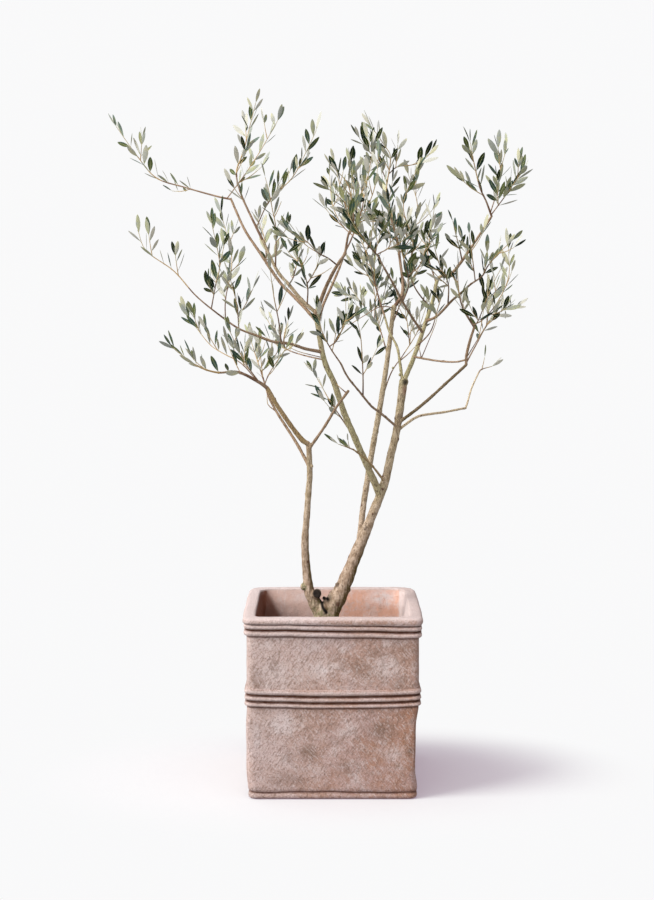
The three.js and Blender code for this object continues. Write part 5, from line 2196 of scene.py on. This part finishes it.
@dataclass(frozen=True)
class LeafMaker:
    """Turns leaves into one mesh: thin lances with a stalk, a raised rib and two faces.

    The points of a row are the left edge, both sides of the rib, the right edge and the underside.
    """

    rows: tuple[float, ...] = (0.0, 0.08, 0.2, 0.38, 0.58, 0.79, 0.93)
    half_widths: tuple[float, ...] = (0.1, 0.09, 0.44, 0.84, 1.0, 0.78, 0.4)
    row_points: int = 5
    stalk_rows: int = 2
    rib_half: float = 0.35
    thickness: float = 0.42
    fold: float = 0.16

    def points(self, leaf: Leaf) -> Array:
        """Lay the vertices of one leaf.

        Args:
            leaf: the leaf.

        Returns:
            The points of its rows and then its tip.
        """
        across = np.cross(leaf.lean, leaf.facing)
        half = leaf.width / 2
        thick = self.thickness / 2
        made = []
        for share, widening in zip(self.rows, self.half_widths):
            bow = leaf.bow * leaf.length * share ** 2
            centre = leaf.root + leaf.lean * leaf.length * share + leaf.facing * bow
            edge = half * widening
            rib = min(self.rib_half * (1.2 - share), 0.45 * edge)
            raised = self.fold * edge
            made += [
                centre - across * edge + leaf.facing * raised,
                centre - across * rib + leaf.facing * thick,
                centre + across * rib + leaf.facing * thick,
                centre + across * edge + leaf.facing * raised,
                centre - leaf.facing * thick,
            ]
        made.append(leaf.root + leaf.lean * leaf.length + leaf.facing * leaf.bow * leaf.length)
        return np.array(made)

    def faces(self) -> tuple[list[Face], list[LeafPart]]:
        """Lay the faces of one leaf.

        Returns:
            The faces and the part that each belongs to.
        """
        top, rib, underside = LeafPart.TOP, LeafPart.RIB, LeafPart.UNDERSIDE
        strips = ((0, 1, top), (1, 2, rib), (2, 3, top), (3, 4, underside), (4, 0, underside))
        wide = self.row_points
        last = (len(self.rows) - 1) * wide
        faces = [tuple(range(wide))]
        parts = [rib]
        for row in range(len(self.rows) - 1):
            low = row * wide
            for first, second, part in strips:
                faces.append((low + first, low + first + wide, low + second + wide, low + second))
                stalk = row == 0 or row < self.stalk_rows and part is underside
                parts.append(rib if stalk else part)
        for first, second, part in strips:
            faces.append((last + first, last + wide, last + second))
            parts.append(part)
        return faces, parts

    def build(self, name: str, leaves: Sequence[Leaf]) -> Piece:
        """Model leaves as one piece.

        Args:
            name: the piece's name.
            leaves: the leaves.

        Returns:
            The piece.
        """
        faces, parts = self.faces()
        size = len(self.rows) * self.row_points + 1
        points = np.vstack([self.points(leaf) for leaf in leaves])
        all_faces = [tuple(index * size + corner for corner in face)
                     for index in range(len(leaves)) for face in faces]
        indices = []
        for leaf in leaves:
            slots = {LeafPart.RIB: 0, LeafPart.TOP: 1 + leaf.top,
                     LeafPart.UNDERSIDE: 1 + len(LEAF_TOPS) + leaf.underside}
            indices += [slots[part] for part in parts]
        return joined_mesh(name, points, all_faces, indices)


@dataclass(frozen=True)
class TwigMaker:
    """Turns twigs into one mesh: round, tapering, with a small swelling at each pair of leaves."""

    sides: int = 7
    taper: float = 0.8
    swelling: float = 0.3
    swelling_reach: float = 1.6
    node_reach: float = 1.8
    ochre_share: float = 0.6

    def build(self, name: str, twigs: Sequence[Twig]) -> Piece:
        """Model twigs as one piece.

        Args:
            name: the piece's name.
            twigs: the twigs.

        Returns:
            The piece.
        """
        points: list[Array] = []
        faces: list[Face] = []
        indices: list[int] = []
        start = 0
        for twig in twigs:
            made, made_faces, made_indices = self._twig(twig)
            points.append(made)
            faces += [tuple(start + corner for corner in face) for face in made_faces]
            indices += made_indices
            start += len(made)
        return joined_mesh(name, np.vstack(points), faces, indices)

    def _twig(self, twig: Twig) -> tuple[Array, list[Face], list[int]]:
        """Make one twig.

        Args:
            twig: the twig.

        Returns:
            Its vertices, its faces and the bark of each face.
        """
        route = twig.route
        shares = np.array(sorted({*np.round(route.reached / route.length, 4), *self._node_shares(twig)}))
        points = self._points(twig, shares)
        base, tip = len(points) - 2, len(points) - 1
        faces = []
        indices = []
        for ring, share in enumerate(shares[:-1]):
            low = ring * self.sides
            for side in range(self.sides):
                following = (side + 1) % self.sides
                faces.append((low + side, low + following, low + self.sides + following,
                              low + self.sides + side))
            indices += [self._bark(twig, share)] * self.sides
        last = (len(shares) - 1) * self.sides
        for side in range(self.sides):
            following = (side + 1) % self.sides
            faces += [(base, following, side), (tip, last + side, last + following)]
            indices += [self._bark(twig, 0), self._bark(twig, 1)]
        return points, faces, indices

    def _points(self, twig: Twig, shares: Array) -> Array:
        """Lay a ring of points at each share of a twig's length.

        Args:
            twig: the twig.
            shares: the shares.

        Returns:
            The rings and then the middles of both ends.
        """
        route = twig.route
        centres = route.at(shares)
        bumps = np.zeros(len(shares))
        for node in twig.nodes:
            bumps += self.swelling * np.exp(-((shares - node) * route.length / self.swelling_reach) ** 2)
        radii = twig.base_radius + (twig.tip_radius - twig.base_radius) * shares ** self.taper
        radii = radii * (1 + np.minimum(bumps, self.swelling * 1.2))
        across = sideways(route.heading(0), 0.3)
        turns = np.linspace(0, 2 * math.pi, self.sides, endpoint=False)[:, None]
        rings = []
        for index, centre in enumerate(centres):
            before, after = centres[max(index - 1, 0)], centres[min(index + 1, len(centres) - 1)]
            heading = unit(after - before)
            across = unit(across - heading * np.dot(across, heading))
            beside = np.cross(heading, across)
            rings.append(centre + radii[index] * (np.cos(turns) * across + np.sin(turns) * beside))
        return np.vstack([*rings, centres[:1], centres[-1:]])

    def _node_shares(self, twig: Twig) -> set[float]:
        """Find the shares just before, at and after each node, so that its swelling shows.

        Args:
            twig: the twig.

        Returns:
            The shares.
        """
        reach = self.node_reach / twig.route.length
        places = {round(node + offset, 4) for node in twig.nodes for offset in (-reach, 0, reach)}
        return {place for place in places if 0 < place < 1}

    def _bark(self, twig: Twig, share: float) -> int:
        """Find the bark of a twig at a share of its length.

        Args:
            twig: the twig.
            share: the share.

        Returns:
            The number of the bark in TWIGS: brown, ochre or cream.
        """
        if share < twig.young_from:
            return 0
        return 1 if share < twig.young_from + self.ochre_share * (1 - twig.young_from) else 2


def joined_mesh(name: str, points: Array, faces: Sequence[Face], indices: Sequence[int]) -> Piece:
    """Make one mesh of many small things.

    Args:
        name: the piece's name.
        points: its vertices, in millimetres.
        faces: the corners of each face.
        indices: the number of each face's material.

    Returns:
        The piece.
    """
    sharp_from = 38
    mesh = bpy.data.meshes.new(name)
    mesh.from_pydata((points * MM).tolist(), [], list(faces))
    mesh.polygons.foreach_set("material_index", indices)
    piece = new_object(name, mesh)
    smooth(piece, sharp_from)
    return piece


@dataclass
class Foliage:
    """The leaves and the twigs of each side of the crown, as joined pieces."""

    crown: Crown

    def __post_init__(self) -> None:
        """Mix the tints that all sides share."""
        self.leaf_materials = [tint.material() for tint in (LEAF_RIB, *LEAF_TOPS, *LEAF_UNDERSIDES)]
        self.twig_materials = [tint.material() for tint in TWIGS]

    def build(self) -> None:
        """Model, dress and hand over the pieces of each side."""
        for side in Side:
            grown_leaves, grown_twigs = self.crown.leaves[side], self.crown.twigs[side]
            nodes = [f"foliage_{mass.name}" for mass in FOLIAGE if mass.side is side]
            leaves = LeafMaker().build(f"leaves_{side.value}", grown_leaves)
            twigs = TwigMaker().build(f"twigs_{side.value}", grown_twigs)
            for piece, materials in ((leaves, self.leaf_materials), (twigs, self.twig_materials)):
                for material in materials:
                    piece.data.materials.append(material)
                finish_piece(piece, nodes)
            LOG.info("%s side: %d leaves, %d twigs", side.value, len(grown_leaves), len(grown_twigs))


@dataclass
class Studio:
    """The plain pale floor, the soft light and the camera, none of them part of the object."""

    camera_place: Point = (-11.5, -3400, 1021)
    camera_tilt: float = 5.59
    lens: float = 66.08
    sensor: float = 36.0
    backdrop: Colour = (0.95, 0.95, 0.955)
    floor_tint: Colour = (0.639, 0.708, 0.659)
    floor_bounce: Colour = (0.31, 0.3, 0.305)
    floor_radius: float = 9000.0
    floor_sides: int = 96
    floor_roughness: float = 0.9
    bounced_share: float = 0.5
    floor_fade: Pair = (0.33, 0.7)
    floor_squeeze: float = 1.6
    near_glow: Colour = (0.95, 0.6, 0.9)
    near_share: float = 0.22
    fill: Colour = (0.85, 0.82, 0.85)
    fill_from: Point = (-0.5, -0.7, 0.5)
    fill_range: Pair = (0.0, 1.65)
    key_strength: float = 3.4
    key_spread: float = 30.0
    key_from: Point = (-0.85, -0.34, 0.67)
    key_colour: Colour = (1.0, 0.985, 0.96)

    def build(self) -> None:
        """Set up the studio."""
        self._floor()
        self._world()
        self._key()
        self._camera()
        bpy.context.scene.view_settings.view_transform = "Standard"

    def _floor(self) -> None:
        """Lay a pale disc that fades into the backdrop and throws less light up than it shows."""
        clear_selection()
        bpy.ops.mesh.primitive_circle_add(vertices=self.floor_sides, radius=self.floor_radius * MM,
                                          fill_type="NGON")
        floor = bpy.context.object
        floor.name = "floor"
        graph = Graph("pale_floor")
        seen = graph.tree.nodes.new("ShaderNodeLightPath").outputs["Is Camera Ray"]
        tint = graph.mix(seen, self.floor_bounce, self.floor_tint)
        graph.feed(graph.shader.inputs["Base Color"], tint)
        graph.shader.inputs["Roughness"].default_value = self.floor_roughness
        graph.shader.inputs["Specular IOR Level"].default_value = 0.0
        length = graph.node("ShaderNodeVectorMath", {}, operation="LENGTH")
        graph.feed(length.inputs[0], graph.stretched((1, self.floor_squeeze, 1)))
        fade = graph.rise(length.outputs["Value"], *self.floor_fade)
        strength = graph.rise(seen, 0, 1, self.bounced_share, 1)
        surface = graph.shader.outputs[0]
        for share, colour in ((self.near_share, self.near_glow), (fade, self.backdrop)):
            glow = graph.node("ShaderNodeEmission", {"Color": colour, "Strength": strength})
            mixed = graph.tree.nodes.new("ShaderNodeMixShader")
            for socket, value in zip(mixed.inputs, (share, surface, glow.outputs[0])):
                graph.feed(socket, value)
            surface = mixed.outputs[0]
        graph.feed(graph.tree.nodes["Material Output"].inputs["Surface"], surface)
        floor.data.materials.append(graph.material)

    def _world(self) -> None:
        """Fill the room with soft light, mostly from the key's side, behind the pale backdrop."""
        world = bpy.data.worlds.new("studio")
        bpy.context.scene.world = world
        world.use_nodes = True
        tree = world.node_tree
        seen = tree.nodes.new("ShaderNodeBackground")
        seen.inputs["Color"].default_value = (*self.backdrop, 1)
        fill = tree.nodes["Background"]
        fill.inputs["Color"].default_value = (*self.fill, 1)
        towards = tree.nodes.new("ShaderNodeVectorMath")
        towards.operation = "DOT_PRODUCT"
        towards.inputs[1].default_value = Vector(self.fill_from).normalized()
        share = tree.nodes.new("ShaderNodeMapRange")
        share.inputs["From Min"].default_value = -1
        share.inputs["To Min"].default_value, share.inputs["To Max"].default_value = self.fill_range
        path = tree.nodes.new("ShaderNodeLightPath")
        mix = tree.nodes.new("ShaderNodeMixShader")
        tree.links.new(tree.nodes.new("ShaderNodeTexCoord").outputs["Generated"], towards.inputs[0])
        tree.links.new(towards.outputs["Value"], share.inputs["Value"])
        tree.links.new(share.outputs[0], fill.inputs["Strength"])
        tree.links.new(path.outputs["Is Camera Ray"], mix.inputs[0])
        tree.links.new(fill.outputs[0], mix.inputs[1])
        tree.links.new(seen.outputs[0], mix.inputs[2])
        tree.links.new(mix.outputs[0], tree.nodes["World Output"].inputs["Surface"])

    def _key(self) -> None:
        """Hang the large soft key light at the upper left front."""
        light = bpy.data.lights.new("key", "SUN")
        light.energy = self.key_strength
        light.angle = math.radians(self.key_spread)
        light.color = self.key_colour
        lamp = new_object("key", light)
        lamp.rotation_mode = "QUATERNION"
        lamp.rotation_quaternion = (-Vector(self.key_from)).to_track_quat("-Z", "Y")

    def _camera(self) -> None:
        """Place the camera at the photograph's viewing angle."""
        data = bpy.data.cameras.new("camera")
        data.lens = self.lens
        data.sensor_width = self.sensor
        camera = new_object("camera", data)
        camera.location = np.array(self.camera_place) * MM
        camera.rotation_euler = (math.radians(90 - self.camera_tilt), 0, 0)
        bpy.context.scene.camera = camera


def main() -> None:
    """Build the tree, its planter and the studio, and report each piece."""
    logging.basicConfig(level=logging.INFO, format="%(message)s")
    Studio().build()
    planter = Planter()
    planter.dress(planter.build())
    soil = Soil()
    soil.dress(soil.build())
    skeleton = Skeleton()
    wood = Wood(skeleton)
    wood.dress(wood.build())
    crown = Crown(skeleton)
    crown.grow()
    Foliage(crown).build()


if __name__ == "__main__":
    main()
